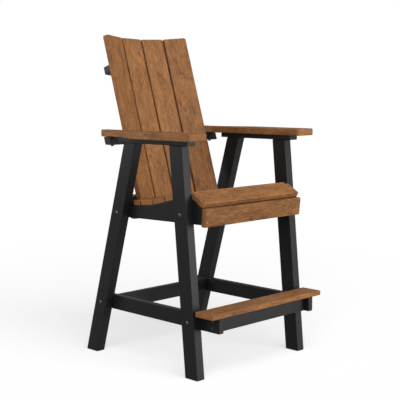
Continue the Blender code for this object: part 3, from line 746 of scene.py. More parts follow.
def add_lower_frame(black, brown):
    """The low side rails, the stretchers between them and the footrest on top of them."""
    front_y, rear_y = lower_rail_front_y(), lower_rail_rear_y()
    stretchers = (("front_stretcher", front_y + FRONT_STRETCHER_INSET + RAIL_THICKNESS),
                  ("rear_stretcher", rear_y - REAR_STRETCHER_INSET))
    outline = rectangle((front_y, LOWER_RAIL_BOTTOM), (rear_y, LOWER_RAIL_TOP))
    screw_heights = (LOWER_RAIL_BOTTOM + RAIL_SCREW_INSET, LOWER_RAIL_TOP - RAIL_SCREW_INSET)
    for side_name, side in SIDES:
        screws = []
        for _, stretcher_y in stretchers:
            middle_y = stretcher_y - RAIL_THICKNESS / 2
            screws += [facing((side * RAIL_OUTER_X, middle_y, z), side * RIGHT) for z in screw_heights]
        place = side_place(RAIL_INNER_X, RAIL_THICKNESS, side)
        add_board(f"lower_rail_{side_name}", outline, RAIL_THICKNESS, black, place, (1, 0),
                  screws=screws, bores=joint_bores(side, level="lower"))
    outline = rectangle((-BETWEEN_RAILS / 2, 0), (BETWEEN_RAILS / 2, LOWER_RAIL_HEIGHT))
    for name, stretcher_y in stretchers:
        place = placed((0, stretcher_y, LOWER_RAIL_BOTTOM), RIGHT, UP)
        add_board(name, outline, RAIL_THICKNESS, black, place, (1, 0))
    half_width = FRAME_WIDTH / 2 + FOOTREST_LIP
    outline = rectangle((-half_width, 0), (half_width, FOOTREST_DEPTH))
    place = placed((0, footrest_front_y(), LOWER_RAIL_TOP + CLEARANCE), RIGHT, REARWARD)
    add_board("footrest", outline, FOOTREST_THICKNESS, brown, place, (1, 0))


def apron_rear_y(z):
    return APRON_BOTTOM_Y - math.tan(APRON_LEAN) * (z - APRON_BOTTOM_Z)


def seat_rail_outline():
    """The rail from the side: a nose behind the apron, slat seats on top, a level shelf at the rear."""
    corners = seat_contour()
    front_y = apron_rear_y(SEAT_RAIL_FRONT_BOTTOM) + CLEARANCE
    nose_slope = math.tan(SEAT_SLOPES[0])
    apron_slope = math.tan(APRON_LEAN)
    nose, peak = corners[0], corners[1]
    overshoot = apron_rear_y(nose.y) + CLEARANCE - nose.x
    nose_y = nose.x + overshoot / (1 + nose_slope * apron_slope)
    nose_z = peak.y - (peak.x - nose_y) * nose_slope
    rear_half = LEG_WIDTH / 2 / math.cos(REAR_LEAN) - SEAT_RAIL_END_INSET
    shelf_z = corners[-1].y
    rear_bottom_y = rear_leg_y(SEAT_RAIL_REAR_BOTTOM) + rear_half
    rear_top_y = rear_leg_y(shelf_z) + rear_half
    outline = [(front_y, SEAT_RAIL_FRONT_BOTTOM), (rear_bottom_y, SEAT_RAIL_REAR_BOTTOM)]
    outline.append((rear_top_y, shelf_z))
    outline += [(corner.x, corner.y) for corner in reversed(corners[1:])]
    return outline + [(nose_y, nose_z)]


def rear_slat_outline():
    """The rear slat from above: straight ends, and a rear edge that swells into the hollow of the back."""
    rise = (REAR_SLAT_WIDTH - REAR_SLAT_END_WIDTH) * math.cos(RECLINE)
    reach = math.acos(1 - rise / BACK_RADIUS)
    swell = []
    for across, behind in arc_points((0, -BACK_RADIUS), BACK_RADIUS, math.pi / 2 - reach, math.pi / 2 + reach,
                                     BRACE_ARC_STEP):
        swell.append((across, REAR_SLAT_WIDTH + behind / math.cos(RECLINE)))
    half = RAIL_OUTER_X
    return [(-half, 0), (half, 0), (half, REAR_SLAT_END_WIDTH), *swell, (-half, REAR_SLAT_END_WIDTH)]


def end_screws(place, heights, thickness):
    """Screws at both ends of a board across the seat, at heights over its lower edge."""
    outward = place.col[2].to_3d()
    screws = []
    for _, side in SIDES:
        for height in heights:
            screws.append(facing(place @ Vector((side * SLAT_SCREW_X, height, thickness)), outward))
    return screws


def add_seat(black, brown):
    for side_name, side in SIDES:
        place = side_place(RAIL_INNER_X, RAIL_THICKNESS, side)
        add_board(f"seat_rail_{side_name}", seat_rail_outline(), RAIL_THICKNESS, black, place, (1, 0),
                  bores=joint_bores(side, level="seat"))
    plain_slat = rectangle((-RAIL_OUTER_X, 0), (RAIL_OUTER_X, SEAT_SLAT_WIDTH))
    last = len(SEAT_SLOPES) - 1
    for index, slope in enumerate(SEAT_SLOPES):
        along = slope_direction(slope)
        start = slat_start(index)
        place = placed((0, start.x, start.y), RIGHT, (0, along.x, along.y))
        outline = rear_slat_outline() if index == last else plain_slat
        end_width = REAR_SLAT_END_WIDTH if index == last else SEAT_SLAT_WIDTH
        inset = SLAT_SCREW_INSET * end_width / SEAT_SLAT_WIDTH
        screws = end_screws(place, (inset, end_width - inset), SEAT_SLAT_THICKNESS)
        add_board(f"seat_slat_{index + 1}", outline, SEAT_SLAT_THICKNESS, brown, place, (1, 0), screws=screws)
    outline = rectangle((-BETWEEN_RAILS / 2, 0), (BETWEEN_RAILS / 2, SEAT_REAR_RAIL_HEIGHT))
    bottom = rear_slat_end().y - SEAT_REAR_RAIL_HEIGHT
    place = placed((0, back_foot_y(), bottom), RIGHT, UP)
    add_board("seat_rear_rail", outline, RAIL_THICKNESS, black, place, (1, 0))
    apron_height = (slat_start(0).y - CLEARANCE - APRON_BOTTOM_Z) / math.cos(APRON_LEAN)
    outline = rectangle((-RAIL_OUTER_X, 0), (RAIL_OUTER_X, apron_height))
    up_apron = Vector((0, -math.sin(APRON_LEAN), math.cos(APRON_LEAN)))
    place = placed((0, APRON_BOTTOM_Y, APRON_BOTTOM_Z), RIGHT, up_apron)
    screws = end_screws(place, (SLAT_SCREW_INSET, apron_height - SLAT_SCREW_INSET), APRON_THICKNESS)
    add_board("seat_apron", outline, APRON_THICKNESS, brown, place, (1, 0), screws=screws)


def slat_angle(index):
    return (2 * index + 1 - BACK_SLATS) * SLAT_HALF_ANGLE


def add_back_slats(brown):
    rest = Vector((0, back_foot_y(), rear_slat_end().y))
    bottom = (rest - back_point(0, 0, 0)).dot(UP_BACK) + CLEARANCE
    half = BACK_SLAT_WIDTH / 2
    for index in range(BACK_SLATS):
        angle = slat_angle(index)
        radii = [0, 0, 0, 0]
        if index == 0:
            radii[3] = BACK_TOP_CORNER
        if index == BACK_SLATS - 1:
            radii[2] = BACK_TOP_CORNER
        outline = rounded_rectangle((-half, bottom), (half, BACK_HEIGHT - BACK_TOP_TRIM), radii)
        across = Vector((math.cos(angle), 0, 0)) - math.sin(angle) * BEHIND_BACK
        behind = SLAT_REAR_RADIUS * math.cos(angle) - BACK_RADIUS
        rear_middle = back_point(SLAT_REAR_RADIUS * math.sin(angle), behind, 0)
        add_board(f"back_slat_{index + 1}", outline, BACK_SLAT_THICKNESS, brown,
                  placed(rear_middle, across, UP_BACK), (0, 1))


def brace_arc(radius, reach):
    """Points across and behind along one edge of a brace, out to an angle on both sides of the middle."""
    return arc_points((0, -BACK_RADIUS), radius, math.pi / 2 + reach, math.pi / 2 - reach, BRACE_ARC_STEP)


def brace_outline(half_length):
    """A brace as long as the arcs of its two edges, with square ends."""
    front = brace_arc(BRACE_FRONT_RADIUS, math.asin(half_length / BRACE_FRONT_RADIUS))
    rear = brace_arc(BRACE_REAR_RADIUS, math.asin(half_length / BRACE_REAR_RADIUS))
    return front + rear[::-1]


def eared_brace_outline(half_length):
    """A brace whose ends run on straight past the slats, under the arms."""
    front_line = -MIDDLE_BRACE_EAR
    rear_line = front_line + BRACE_DEPTH
    front = brace_arc(BRACE_FRONT_RADIUS, math.acos((BACK_RADIUS + front_line) / BRACE_FRONT_RADIUS))
    rear = brace_arc(BRACE_REAR_RADIUS, math.acos((BACK_RADIUS + rear_line) / BRACE_REAR_RADIUS))
    outline = [(-half_length, front_line), *front, (half_length, front_line)]
    return outline + [(half_length, rear_line), *rear[::-1], (-half_length, rear_line)]


def brace_screws(middle_z):
    """Two screws for each back slat, through the rear edge of a brace at a height."""
    screws = []
    for index in range(BACK_SLATS):
        for offset in (-BRACE_SCREW_OFFSET, BRACE_SCREW_OFFSET):
            angle = slat_angle(index) + offset / BACK_RADIUS
            behind = BRACE_REAR_RADIUS * math.cos(angle) - BACK_RADIUS
            up = (middle_z - seat_shelf_z() + behind * math.sin(RECLINE)) / math.cos(RECLINE)
            outward = Vector((math.sin(angle), 0, 0)) + math.cos(angle) * BEHIND_BACK
            screws.append(facing(back_point(BRACE_REAR_RADIUS * math.sin(angle), behind, up), outward))
    return screws


def add_level_brace(name, outline, bottom_z, black, bores=()):
    """A level brace, its front and rear edges sawn to the slope of the back."""
    level_outline = [(across, behind / math.cos(RECLINE)) for across, behind in outline]
    place = placed((0, back_front_y(bottom_z), bottom_z), RIGHT, REARWARD)
    slant = math.tan(RECLINE) * BRACE_THICKNESS
    screws = brace_screws(bottom_z + BRACE_THICKNESS / 2)
    add_board(name, level_outline, BRACE_THICKNESS, black, place, (1, 0), slant, screws, bores)


def add_braces(black):
    add_level_brace("back_brace_lower", brace_outline(RAIL_OUTER_X), seat_shelf_z() + CLEARANCE, black)
    outline = eared_brace_outline(ARM_BOLT_X + MIDDLE_BRACE_PAST_BOLT)
    bores = arm_bores(-1) + arm_bores(1)
    add_level_brace("back_brace_middle", outline, middle_brace_bottom(), black, bores)
    up = BACK_HEIGHT - UPPER_BRACE_BELOW_TOP - BRACE_THICKNESS
    place = placed(back_point(0, 0, up), RIGHT, BEHIND_BACK)
    middle = back_point(0, BRACE_REAR_RADIUS - BACK_RADIUS, up + BRACE_THICKNESS / 2)
    outline = brace_outline(UPPER_BRACE_LENGTH / 2)
    screws = brace_screws(middle.z)
    add_board("back_brace_upper", outline, BRACE_THICKNESS, black, place, (1, 0), screws=screws)


# Bolts and nuts of steel
def threaded_end(start, end):
    """Rings of a bolt's thread along its axis, down to a chamfered tip."""
    rings = []
    turns = math.floor((start - end - BOLT_CHAMFER) / THREAD_PITCH)
    for turn in range(turns):
        crest = start - turn * THREAD_PITCH
        rings.append(ring(BOLT_RADIUS, crest))
        rings.append(ring(BOLT_RADIUS, crest - THREAD_PITCH * THREAD_CREST))
        rings.append(ring(BOLT_RADIUS - THREAD_DEPTH, crest - THREAD_PITCH * THREAD_ROOT))
    rings.append(ring(BOLT_RADIUS, end + BOLT_CHAMFER))
    rings.append(ring(BOLT_RADIUS - BOLT_CHAMFER, end))
    rings.append([(0, 0, end)])
    return rings


def leg_bolt_rings(length):
    """A bolt with a low domed head and a hexagon socket; the head sits on height zero."""
    crown = BOLT_HEAD_HEIGHT - BOLT_HEAD_RIM
    sphere = (BOLT_HEAD_RADIUS ** 2 + crown ** 2) / (2 * crown)

    def dome(radius):
        return BOLT_HEAD_RIM + math.sqrt(sphere ** 2 - radius ** 2) - (sphere - crown)

    socket_top = dome(BOLT_SOCKET_FLATS / math.sqrt(3))
    socket_floor = socket_top - BOLT_SOCKET_DEPTH
    socket = hexagon(BOLT_SOCKET_FLATS)
    rings = [
        [(0, 0, socket_floor - BOLT_SOCKET_TIP)],
        ring(socket, socket_floor),
        ring(socket, socket_top - BOLT_SOCKET_RIM),
        ring(hexagon(BOLT_SOCKET_FLATS + 2 * BOLT_SOCKET_RIM), socket_top),
    ]
    for share in BOLT_DOME_STEPS:
        rings.append(ring(share * BOLT_HEAD_RADIUS, dome(share * BOLT_HEAD_RADIUS)))
    rings.append(ring(BOLT_HEAD_RADIUS, BOLT_HEAD_EDGE))
    rings.append(ring(BOLT_HEAD_RADIUS - BOLT_HEAD_EDGE, 0))
    rings.append(ring(BOLT_RADIUS, 0))
    thread_start = -length + BOLT_TIP + NUT_HEIGHT + 2 * THREAD_PITCH
    return rings + threaded_end(thread_start, -length)


def nut_rings():
    """A hexagon nut with its corners turned off and a chamfered bore."""
    bore = BOLT_RADIUS + CLEARANCE
    full = hexagon(NUT_ACROSS_FLATS)
    turned = hexagon(NUT_ACROSS_FLATS, NUT_ACROSS_FLATS / 2)
    drop = NUT_CHAMFER
    return [
        ring(bore, drop / 2),
        ring(bore + drop / 2, 0),
        ring(turned, 0),
        ring(full, drop),
        ring(full, NUT_HEIGHT - drop),
        ring(turned, NUT_HEIGHT),
        ring(bore + drop / 2, NUT_HEIGHT),
        ring(bore, NUT_HEIGHT - drop / 2),
    ]


def add_steel(node, ring_sets, matrix, steel):
    """A turned steel piece of one or more closed bodies; ring_sets are (rings, closed) pairs."""
    shape = bmesh.new()
    for rings, closed in ring_sets:
        add_rings(shape, rings, closed)
    piece = add_object(f"steel_{node}", shape, to_model(matrix))
    smooth_normals(piece)
    dress(piece, steel, node)


def add_leg_bolts(steel):
    through = LEG_THICKNESS + CLEARANCE + RAIL_THICKNESS
    length = through + 2 * CLEARANCE + NUT_HEIGHT + BOLT_TIP
    draw = random.Random("leg_bolts")
    for end, level, y, z in leg_joints():
        for side_name, side in SIDES:
            label = f"{end}_{level}_{side_name}"
            spin = Matrix.Rotation(draw.uniform(0, math.pi / 3), 4, "Z")
            head = facing((side * (FRAME_WIDTH / 2 + CLEARANCE), y, z), side * RIGHT)
            add_steel(f"bolt_{label}", [(leg_bolt_rings(length), False)], head @ spin, steel)
            spin = Matrix.Rotation(draw.uniform(0, math.pi / 3), 4, "Z")
            seat = facing((side * (RAIL_INNER_X - CLEARANCE - NUT_HEIGHT), y, z), side * RIGHT)
            add_steel(f"nut_{label}", [(nut_rings(), True)], seat @ spin, steel)


def add_arm_bolts(steel):
    """A hexagon bolt and washer from below through each end of the middle brace, up into the arm."""
    top = ARM_BOLT_WASHER + ARM_BOLT_HEAD_HEIGHT
    underside = ARM_BOLT_WASHER + ARM_BOLT_HEAD_GAP
    flats = ARM_BOLT_HEAD_RADIUS * math.sqrt(3)
    full = hexagon(flats)
    bolt = [
        [(0, 0, top)],
        ring(ARM_BOLT_HEAD_FACE * flats / 2, top),
        ring(hexagon(flats, flats / 2), top - ARM_BOLT_HEAD_EDGE),
        ring(full, top - ARM_BOLT_HEAD_CHAMFER),
        ring(full, underside),
        ring(BOLT_RADIUS, underside),
        *threaded_end(-BRACE_THICKNESS / 2, -BRACE_THICKNESS - ARM_BOLT_DEPTH),
    ]
    bore = BOLT_RADIUS + CLEARANCE / 2
    washer = [
        ring(bore, 0),
        ring(ARM_BOLT_WASHER_RADIUS - ARM_BOLT_WASHER_EDGE, 0),
        ring(ARM_BOLT_WASHER_RADIUS, ARM_BOLT_WASHER_EDGE),
        ring(ARM_BOLT_WASHER_RADIUS, ARM_BOLT_WASHER - ARM_BOLT_WASHER_EDGE),
        ring(ARM_BOLT_WASHER_RADIUS - ARM_BOLT_WASHER_EDGE, ARM_BOLT_WASHER),
        ring(bore, ARM_BOLT_WASHER),
    ]
    for side_name, side in SIDES:
        under = facing((side * ARM_BOLT_X, arm_bolt_y(), middle_brace_bottom() - CLEARANCE), -UP)
        add_steel(f"arm_bolt_{side_name}", [(bolt, False), (washer, True)], under, steel)


# Node helpers
def srgb(red, green, blue):
    """A linear colour from 0 to 255 as it is seen on a screen."""
    shares = [value / 255 for value in (red, green, blue)]
    return (*[s / 12.92 if s <= 0.04045 else ((s + 0.055) / 1.055) ** 2.4 for s in shares], 1.0)


def feed(tree, socket, value):
    """Links a socket to another one, or gives it a plain value."""
    if isinstance(value, bpy.types.NodeSocket):
        tree.links.new(value, socket)
    else:
        socket.default_value = value


def add_node(tree, kind, settings=(), **inputs):
    """A shader node; inputs are values or sockets, with spaces in their names written as underscores."""
    node = tree.nodes.new(kind)
    for name, value in dict(settings).items():
        setattr(node, name, value)
    for name, value in inputs.items():
        feed(tree, node.inputs[name.replace("_", " ")], value)
    return node


def math_of(tree, operation, first, second, kind="ShaderNodeMath"):
    node = add_node(tree, kind, {"operation": operation})
    feed(tree, node.inputs[0], first)
    feed(tree, node.inputs[1], second)
    return node.outputs[0]


def vector_of(tree, operation, first, second):
    return math_of(tree, operation, first, second, "ShaderNodeVectorMath")


def even_vector(tree, value):
    """A vector with one value along all three axes."""
    return add_node(tree, "ShaderNodeCombineXYZ", X=value, Y=value, Z=value).outputs[0]


def weighted(tree, *parts):
    """The sum of (socket, weight) pairs."""
    products = [math_of(tree, "MULTIPLY", socket, weight) for socket, weight in parts]
    total = products[0]
    for product in products[1:]:
        total = math_of(tree, "ADD", total, product)
    return total


def noise_of(tree, vector, detail, roughness=0.5):
    """Noise from zero to one with patches about one unit wide; detail counts its finer layers."""
    node = add_node(tree, "ShaderNodeTexNoise", Vector=vector, Scale=1.0, Detail=detail, Roughness=roughness)
    return node.outputs[0]


def step_of(tree, value, low, high):
    """Zero below low, one above high, with a soft step between."""
    node = add_node(tree, "ShaderNodeMapRange", {"interpolation_type": "SMOOTHSTEP"},
                    Value=value, From_Min=low, From_Max=high)
    return node.outputs["Result"]


def range_of(tree, value, low, high):
    """A share from zero to one, spread from low to high."""
    return add_node(tree, "ShaderNodeMapRange", Value=value, To_Min=low, To_Max=high).outputs["Result"]


def colour_mix(tree, share, first, second, blend="MIX"):
    """Two colours mixed; the node's inputs 0, 6 and 7 are the share and the colours, its output 2 the mix."""
    node = add_node(tree, "ShaderNodeMix", {"data_type": "RGBA", "blend_type": blend})
    feed(tree, node.inputs[0], share)
    feed(tree, node.inputs[6], first)
    feed(tree, node.inputs[7], second)
    return node.outputs[2]


def between(tree, share, low, high):
    """A colour between two shades."""
    return colour_mix(tree, share, srgb(*low), srgb(*high))


def tint(tree, colour, mask, share, shade):
    """Lays a shade over a colour where the mask is, up to a share of it."""
    return colour_mix(tree, math_of(tree, "MULTIPLY", mask, share), colour, srgb(*shade))


def times(tree, colour, value):
    """A colour with its three channels multiplied by one value."""
    grey = add_node(tree, "ShaderNodeCombineColor", Red=value, Green=value, Blue=value)
    return colour_mix(tree, 1.0, colour, grey.outputs[0], "MULTIPLY")


def ramp_of(tree, value, stops):
    """A colour that runs through (position, shade) stops."""
    node = add_node(tree, "ShaderNodeValToRGB", Fac=value)
    elements = node.color_ramp.elements
    elements.remove(elements[1])
    elements[0].position = stops[0][0]
    elements[0].color = srgb(*stops[0][1])
    for position, shade in stops[1:]:
        elements.new(position).color = srgb(*shade)
    return node.outputs[0]


def mark_of(tree, label, output="Fac"):
    """A mark that is stored on the points of a board."""
    return add_node(tree, "ShaderNodeAttribute", {"attribute_name": label}).outputs[output]


# Shared effects
def new_group(name, inputs, outputs):
    """A shader node group with float inputs, as (label, default) pairs, and float outputs."""
    tree = bpy.data.node_groups.new(name, "ShaderNodeTree")
    for label, default in inputs:
        socket = tree.interface.new_socket(name=label, in_out="INPUT", socket_type="NodeSocketFloat")
        socket.default_value = default
    for label in outputs:
        tree.interface.new_socket(name=label, in_out="OUTPUT", socket_type="NodeSocketFloat")
    return tree, tree.nodes.new("NodeGroupInput").outputs, tree.nodes.new("NodeGroupOutput").inputs


def place_group(tree, group, **inputs):
    """A group in a material, with the material's own values for its inputs."""
    return add_node(tree, "ShaderNodeGroup", {"node_tree": group}, **inputs).outputs


def make_grain_group():
    """Streaks, broad tones, fibres, fine lines, dark flecks and knots that run along a board."""
    inputs = (("Streak Length", 0.12), ("Streak Width", 0.005), ("Fleck Level", 0.6), ("Knot Level", 0.68))
    outputs = ("Tone", "Streaks", "Flecks", "Knots", "Fibres", "Lines")
    tree, given, out = new_group("lumber_grain", inputs, outputs)
    place = mark_of(tree, "board_place", "Vector")
    bend = noise_of(tree, vector_of(tree, "DIVIDE", place, BEND_SIZE), detail=1.0)
    bend = math_of(tree, "MULTIPLY", math_of(tree, "SUBTRACT", bend, 0.5), BEND_REACH)
    sideways = add_node(tree, "ShaderNodeCombineXYZ", X=0.0, Y=bend, Z=bend).outputs[0]
    place = vector_of(tree, "ADD", place, sideways)
    length, width = given["Streak Length"], given["Streak Width"]
    size = add_node(tree, "ShaderNodeCombineXYZ", X=length, Y=width, Z=width).outputs[0]
    streaks = vector_of(tree, "DIVIDE", place, size)
    feed(tree, out["Streaks"], noise_of(tree, streaks, detail=3.0, roughness=0.6))
    tone = noise_of(tree, vector_of(tree, "DIVIDE", streaks, STREAKS_IN_TONE), detail=2.0, roughness=0.55)
    feed(tree, out["Tone"], tone)
    fibres = noise_of(tree, vector_of(tree, "MULTIPLY", streaks, FIBRE_COUNT), detail=5.0, roughness=0.65)
    feed(tree, out["Fibres"], fibres)
    lines = noise_of(tree, vector_of(tree, "MULTIPLY", streaks, LINE_COUNT), detail=2.0, roughness=0.6)
    feed(tree, out["Lines"], lines)
    flecks = noise_of(tree, vector_of(tree, "MULTIPLY", streaks, FLECK_COUNT), detail=3.0, roughness=0.55)
    level = given["Fleck Level"]
    flecks = step_of(tree, flecks, level, math_of(tree, "ADD", level, FLECK_STEP))
    patches = noise_of(tree, vector_of(tree, "DIVIDE", place, FLECK_PATCH_SIZE), detail=1.0)
    patches = step_of(tree, patches, *FLECK_PATCH_STEP)
    feed(tree, out["Flecks"], math_of(tree, "MULTIPLY", flecks, patches))
    knots = noise_of(tree, vector_of(tree, "DIVIDE", place, KNOT_SIZE), detail=4.0, roughness=0.65)
    level = given["Knot Level"]
    knots = step_of(tree, knots, level, math_of(tree, "ADD", level, KNOT_STEP))
    torn = step_of(tree, fibres, *KNOT_FIBRE_STEP)
    feed(tree, out["Knots"], math_of(tree, "MULTIPLY", knots, torn))
    return tree


def make_edge_group():
    """The rounded edges of a board, rubbed unevenly, and its sawn ends."""
    tree, given, out = new_group("board_edges", (("Patch Size", 0.03),), ("Rubbed", "Sawn End"))
    edge = step_of(tree, mark_of(tree, "board_edge"), *EDGE_STEP)
    place = mark_of(tree, "board_place", "Vector")
    patches = vector_of(tree, "DIVIDE", place, even_vector(tree, given["Patch Size"]))
    worn = step_of(tree, noise_of(tree, patches, detail=3.0, roughness=0.6), *RUBBED_STEP)
    feed(tree, out["Rubbed"], math_of(tree, "MULTIPLY", edge, worn))
    feed(tree, out["Sawn End"], step_of(tree, mark_of(tree, "board_end"), *SAWN_STEP))
    return tree


def make_mottle_group():
    """Broad patches and fine specks of a moulded or rolled surface."""
    inputs = (("Patch Size", 0.05), ("Speck Size", 0.001))
    tree, given, out = new_group("surface_mottle", inputs, ("Patches", "Specks"))
    place = tree.nodes.new("ShaderNodeTexCoord").outputs["Object"]
    patches = vector_of(tree, "DIVIDE", place, even_vector(tree, given["Patch Size"]))
    feed(tree, out["Patches"], noise_of(tree, patches, detail=3.0, roughness=0.55))
    specks = vector_of(tree, "DIVIDE", place, even_vector(tree, given["Speck Size"]))
    feed(tree, out["Specks"], noise_of(tree, specks, detail=2.0, roughness=0.6))
    return tree


# Materials
def new_material(name, metallic, specular):
    """A material with its Principled shader, whose plain values are set on the shader itself."""
    material = bpy.data.materials.new(name)
    material.use_nodes = True
    shader = material.node_tree.nodes["Principled BSDF"]
    shader.inputs["Metallic"].default_value = metallic
    shader.inputs["Specular IOR Level"].default_value = specular
    return material, material.node_tree, shader


def feed_shader(tree, shader, colour, rough, height, bump):
    """Feeds a shader its colour, its roughness and its relief; bump is the relief's strength and depth."""
    feed(tree, shader.inputs["Base Color"], colour)
    feed(tree, shader.inputs["Roughness"], rough)
    strength, depth = bump
    relief = add_node(tree, "ShaderNodeBump", Strength=strength, Distance=depth, Height=height)
    feed(tree, shader.inputs["Normal"], relief.outputs[0])


def make_brown(groups):
    """Brown lumber with an embossed grain: streaks of four browns, darker flecks and a few knots."""
    material, tree, shader = new_material("brown_grained_lumber", 0.0, LUMBER_SPECULAR)
    grain = place_group(tree, groups["grain"], Streak_Length=0.11, Streak_Width=0.0075,
                        Fleck_Level=0.54, Knot_Level=0.61)
    edges = place_group(tree, groups["edges"], Patch_Size=0.025)
    mottle = place_group(tree, groups["mottle"], Patch_Size=0.06)
    tone = weighted(tree, (grain["Tone"], BROWN_TONE_SHARE), (grain["Streaks"], 1 - BROWN_TONE_SHARE))
    colour = ramp_of(tree, tone, BROWN_STREAKS)
    colour = tint(tree, colour, step_of(tree, mottle["Patches"], *GREYED_STEP), *GREYED_BROWN)
    fibres = range_of(tree, grain["Fibres"], *BROWN_FIBRES)
    lines = range_of(tree, grain["Lines"], *BROWN_LINES)
    colour = times(tree, colour, math_of(tree, "MULTIPLY", fibres, lines))
    colour = tint(tree, colour, grain["Flecks"], *FLECK_BROWN)
    colour = tint(tree, colour, grain["Knots"], *KNOT_BROWN)
    colour = tint(tree, colour, edges["Sawn End"], *SAWN_BROWN)
    colour = tint(tree, colour, edges["Rubbed"], *RUBBED_BROWN)
    # each board's tone, partly painted shade, lightens or darkens the colour
    colour = times(tree, colour, math_of(tree, "ADD", mark_of(tree, "board_tone_and_shade"), 1.0))
    rough = range_of(tree, grain["Fibres"], *BROWN_ROUGHNESS)
    height = weighted(tree, (grain["Fibres"], BROWN_FIBRE_HEIGHT), (grain["Flecks"], -BROWN_FLECK_DEPTH),
                      (grain["Streaks"], BROWN_STREAK_HEIGHT))
    feed_shader(tree, shader, colour, rough, height, BROWN_BUMP)
    return material


def make_black(groups):
    """Black lumber with a satin skin, faint drawn lines and slightly greyed edges."""
    material, tree, shader = new_material("black_satin_lumber", 0.0, LUMBER_SPECULAR)
    grain = place_group(tree, groups["grain"], Streak_Length=0.35, Streak_Width=0.003, Fleck_Level=0.62)
    edges = place_group(tree, groups["edges"], Patch_Size=0.04)
    mottle = place_group(tree, groups["mottle"], Patch_Size=0.09, Speck_Size=0.0009)
    tone = weighted(tree, (grain["Streaks"], BLACK_STREAK_SHARE), (mottle["Patches"], 1 - BLACK_STREAK_SHARE))
    colour = between(tree, step_of(tree, tone, *BLACK_STEP), *BLACK_SHADES)
    colour = tint(tree, colour, grain["Flecks"], *FLECK_BLACK)
    colour = tint(tree, colour, edges["Sawn End"], *SAWN_BLACK)
    colour = tint(tree, colour, edges["Rubbed"], *RUBBED_BLACK)
    rough = range_of(tree, mottle["Patches"], *BLACK_ROUGHNESS)
    height = weighted(tree, (grain["Streaks"], BLACK_STREAK_HEIGHT), (mottle["Specks"], BLACK_SPECK_HEIGHT))
    feed_shader(tree, shader, colour, rough, height, BLACK_BUMP)
    return material


def make_steel(groups):
    """Passivated steel, dulled in patches and finely pitted."""
    material, tree, shader = new_material("dull_bolt_steel", 1.0, STEEL_SPECULAR)
    mottle = place_group(tree, groups["mottle"], Patch_Size=0.004, Speck_Size=0.0004)
    colour = between(tree, step_of(tree, mottle["Patches"], *STEEL_STEP), *STEEL_SHADES)
    rough = range_of(tree, mottle["Patches"], *STEEL_ROUGHNESS)
    feed_shader(tree, shader, colour, rough, mottle["Specks"], STEEL_BUMP)
    return material


# Studio
def add_camera():
    """The camera at the photograph's angle."""
    data = bpy.data.cameras.new("photo_view")
    data.sensor_width = CAMERA_SENSOR
    data.lens = CAMERA_LENS
    data.clip_end = CAMERA_REACH
    level = math.cos(CAMERA_PITCH)
    ahead = Vector((-math.sin(CAMERA_YAW) * level, math.cos(CAMERA_YAW) * level, math.sin(CAMERA_PITCH)))
    right = ahead.cross(UP).normalized()
    above = right.cross(ahead)
    across = math.cos(CAMERA_ROLL) * right + math.sin(CAMERA_ROLL) * above
    upward = math.cos(CAMERA_ROLL) * above - math.sin(CAMERA_ROLL) * right
    camera = bpy.data.objects.new("photo_view", data)
    stand = Matrix((across, upward, -ahead)).transposed().to_4x4()
    stand.translation = CAMERA_PLACE
    camera.matrix_world = to_model(stand)
    bpy.context.scene.collection.objects.link(camera)
    bpy.context.scene.camera = camera


def wearing(material):
    """All pieces of the chair in one material."""
    meshes = [piece for piece in bpy.context.scene.objects if piece.type == "MESH"]
    return [piece for piece in meshes if material.name in piece.data.materials]


def hang_lamp(lamp, pieces, state):
    """Puts a lamp into the scene and keeps it off some pieces, or on them alone."""
    listed = bpy.data.collections.new(f"{lamp.name}_pieces")
    for piece in pieces:
        listed.objects.link(piece)
    for entry in listed.collection_objects:
        entry.light_linking.link_state = state
    lamp.light_linking.receiver_collection = listed
    bpy.context.scene.collection.objects.link(lamp)


def add_sun(name, come_from, strength, spread, pieces, state):
    """A soft distant light that comes from a direction."""
    data = bpy.data.lights.new(name, "SUN")
    data.energy = strength
    data.angle = spread
    lamp = bpy.data.objects.new(name, data)
    lamp.matrix_world = facing(SUN_PLACE, come_from)
    hang_lamp(lamp, pieces, state)


def add_panel(name, place, size, power, pieces, state):
    """A soft panel that faces the chair, unseen itself."""
    data = bpy.data.lights.new(name, "AREA")
    data.shape = "RECTANGLE"
    data.size, data.size_y = size
    data.energy = power
    lamp = bpy.data.objects.new(name, data)
    lamp.matrix_world = facing(place, Vector(place) - Vector(PANEL_AIM))
    lamp.visible_camera = False
    hang_lamp(lamp, pieces, state)


def seen_share(tree, path):
    """One where the camera looks, directly or through something, less in a reflection and zero elsewhere."""
    seen = math_of(tree, "MAXIMUM", path["Is Camera Ray"], path["Is Transmission Ray"])
    return math_of(tree, "MAXIMUM", seen, math_of(tree, "MULTIPLY", path["Is Glossy Ray"], MIRRORED))


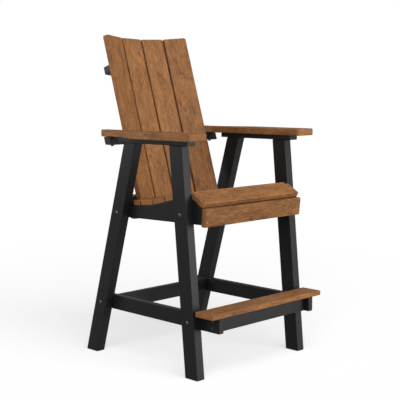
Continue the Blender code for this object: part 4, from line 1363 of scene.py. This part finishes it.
def add_floor():
    """A wide floor just under the feet: it takes shadows, and glows a little more further out."""
    shape = bmesh.new()
    half = FLOOR_SIZE / 2
    shape.faces.new([shape.verts.new((x, y, 0)) for x, y in rectangle((-half, -half), (half, half))])
    floor = add_object("pale_floor", shape, Matrix.Translation((0, 0, -FLOOR_DROP)))
    material = bpy.data.materials.new("pale_floor")
    material.use_nodes = True
    tree = material.node_tree
    tree.nodes.clear()
    path = tree.nodes.new("ShaderNodeLightPath").outputs
    shade = range_of(tree, path["Is Camera Ray"], FLOOR_BOUNCE, FLOOR_SEEN)
    matt = add_node(tree, "ShaderNodeBsdfDiffuse", Color=shade)
    seen = seen_share(tree, path)
    place = tree.nodes.new("ShaderNodeTexCoord").outputs["Object"]
    reach = add_node(tree, "ShaderNodeVectorMath", {"operation": "LENGTH"}, Vector=place).outputs["Value"]
    level = range_of(tree, step_of(tree, reach, *FLOOR_FADE), FLOOR_GLOW, FLOOR_FAR_GLOW)
    glow = add_node(tree, "ShaderNodeEmission", Strength=math_of(tree, "MULTIPLY", seen, level))
    both = tree.nodes.new("ShaderNodeAddShader")
    feed(tree, both.inputs[0], matt.outputs[0])
    feed(tree, both.inputs[1], glow.outputs[0])
    surface = tree.nodes.new("ShaderNodeOutputMaterial")
    feed(tree, surface.inputs["Surface"], both.outputs[0])
    floor.data.materials.append(material)
    floor.visible_glossy = False
    floor.visible_shadow = False
    return floor


def set_world():
    """White where it is seen, directly or in a reflection, and a soft even light elsewhere."""
    world = bpy.data.worlds.new("studio")
    world.use_nodes = True
    tree = world.node_tree
    path = tree.nodes.new("ShaderNodeLightPath").outputs
    strength = range_of(tree, seen_share(tree, path), AMBIENT, 1.0)
    background = tree.nodes["Background"]
    background.inputs["Color"].default_value = srgb(255, 255, 255)
    feed(tree, background.inputs["Strength"], strength)
    bpy.context.scene.world = world


DEPTH_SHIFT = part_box("footrest")[0].y - footrest_front_y()

# The chair
groups = {"grain": make_grain_group(), "edges": make_edge_group(), "mottle": make_mottle_group()}
steel = make_steel(groups)
# A lumber is its material, its slot and the steel of its screws
brown = (make_brown(groups), "brown_lumber", steel)
black = (make_black(groups), "black_lumber", steel)
add_legs(black)
add_cleats(black)
add_arms(brown)
add_lower_frame(black, brown)
add_seat(black, brown)
add_back_slats(brown)
add_braces(black)
add_leg_bolts(steel)
add_arm_bolts(steel)

# The studio: the floor has its own light, and the brown boards their own front panel
floor = add_floor()
set_world()
add_sun("key_light", KEY_FROM, KEY_STRENGTH, KEY_SPREAD, [floor], "EXCLUDE")
add_sun("floor_light", FLOOR_LIGHT_FROM, FLOOR_LIGHT_STRENGTH, FLOOR_LIGHT_SPREAD, [floor], "INCLUDE")
brown_boards = wearing(brown[0])
add_panel("front_panel", *FRONT_PANEL, FRONT_POWER, [floor, *brown_boards], "EXCLUDE")
add_panel("front_fill", *FRONT_FILL, FRONT_FILL_POWER, brown_boards, "INCLUDE")
add_panel("rear_panel", *REAR_PANEL, REAR_POWER, [floor], "EXCLUDE")
add_camera()
bpy.context.scene.view_settings.view_transform = "Standard"
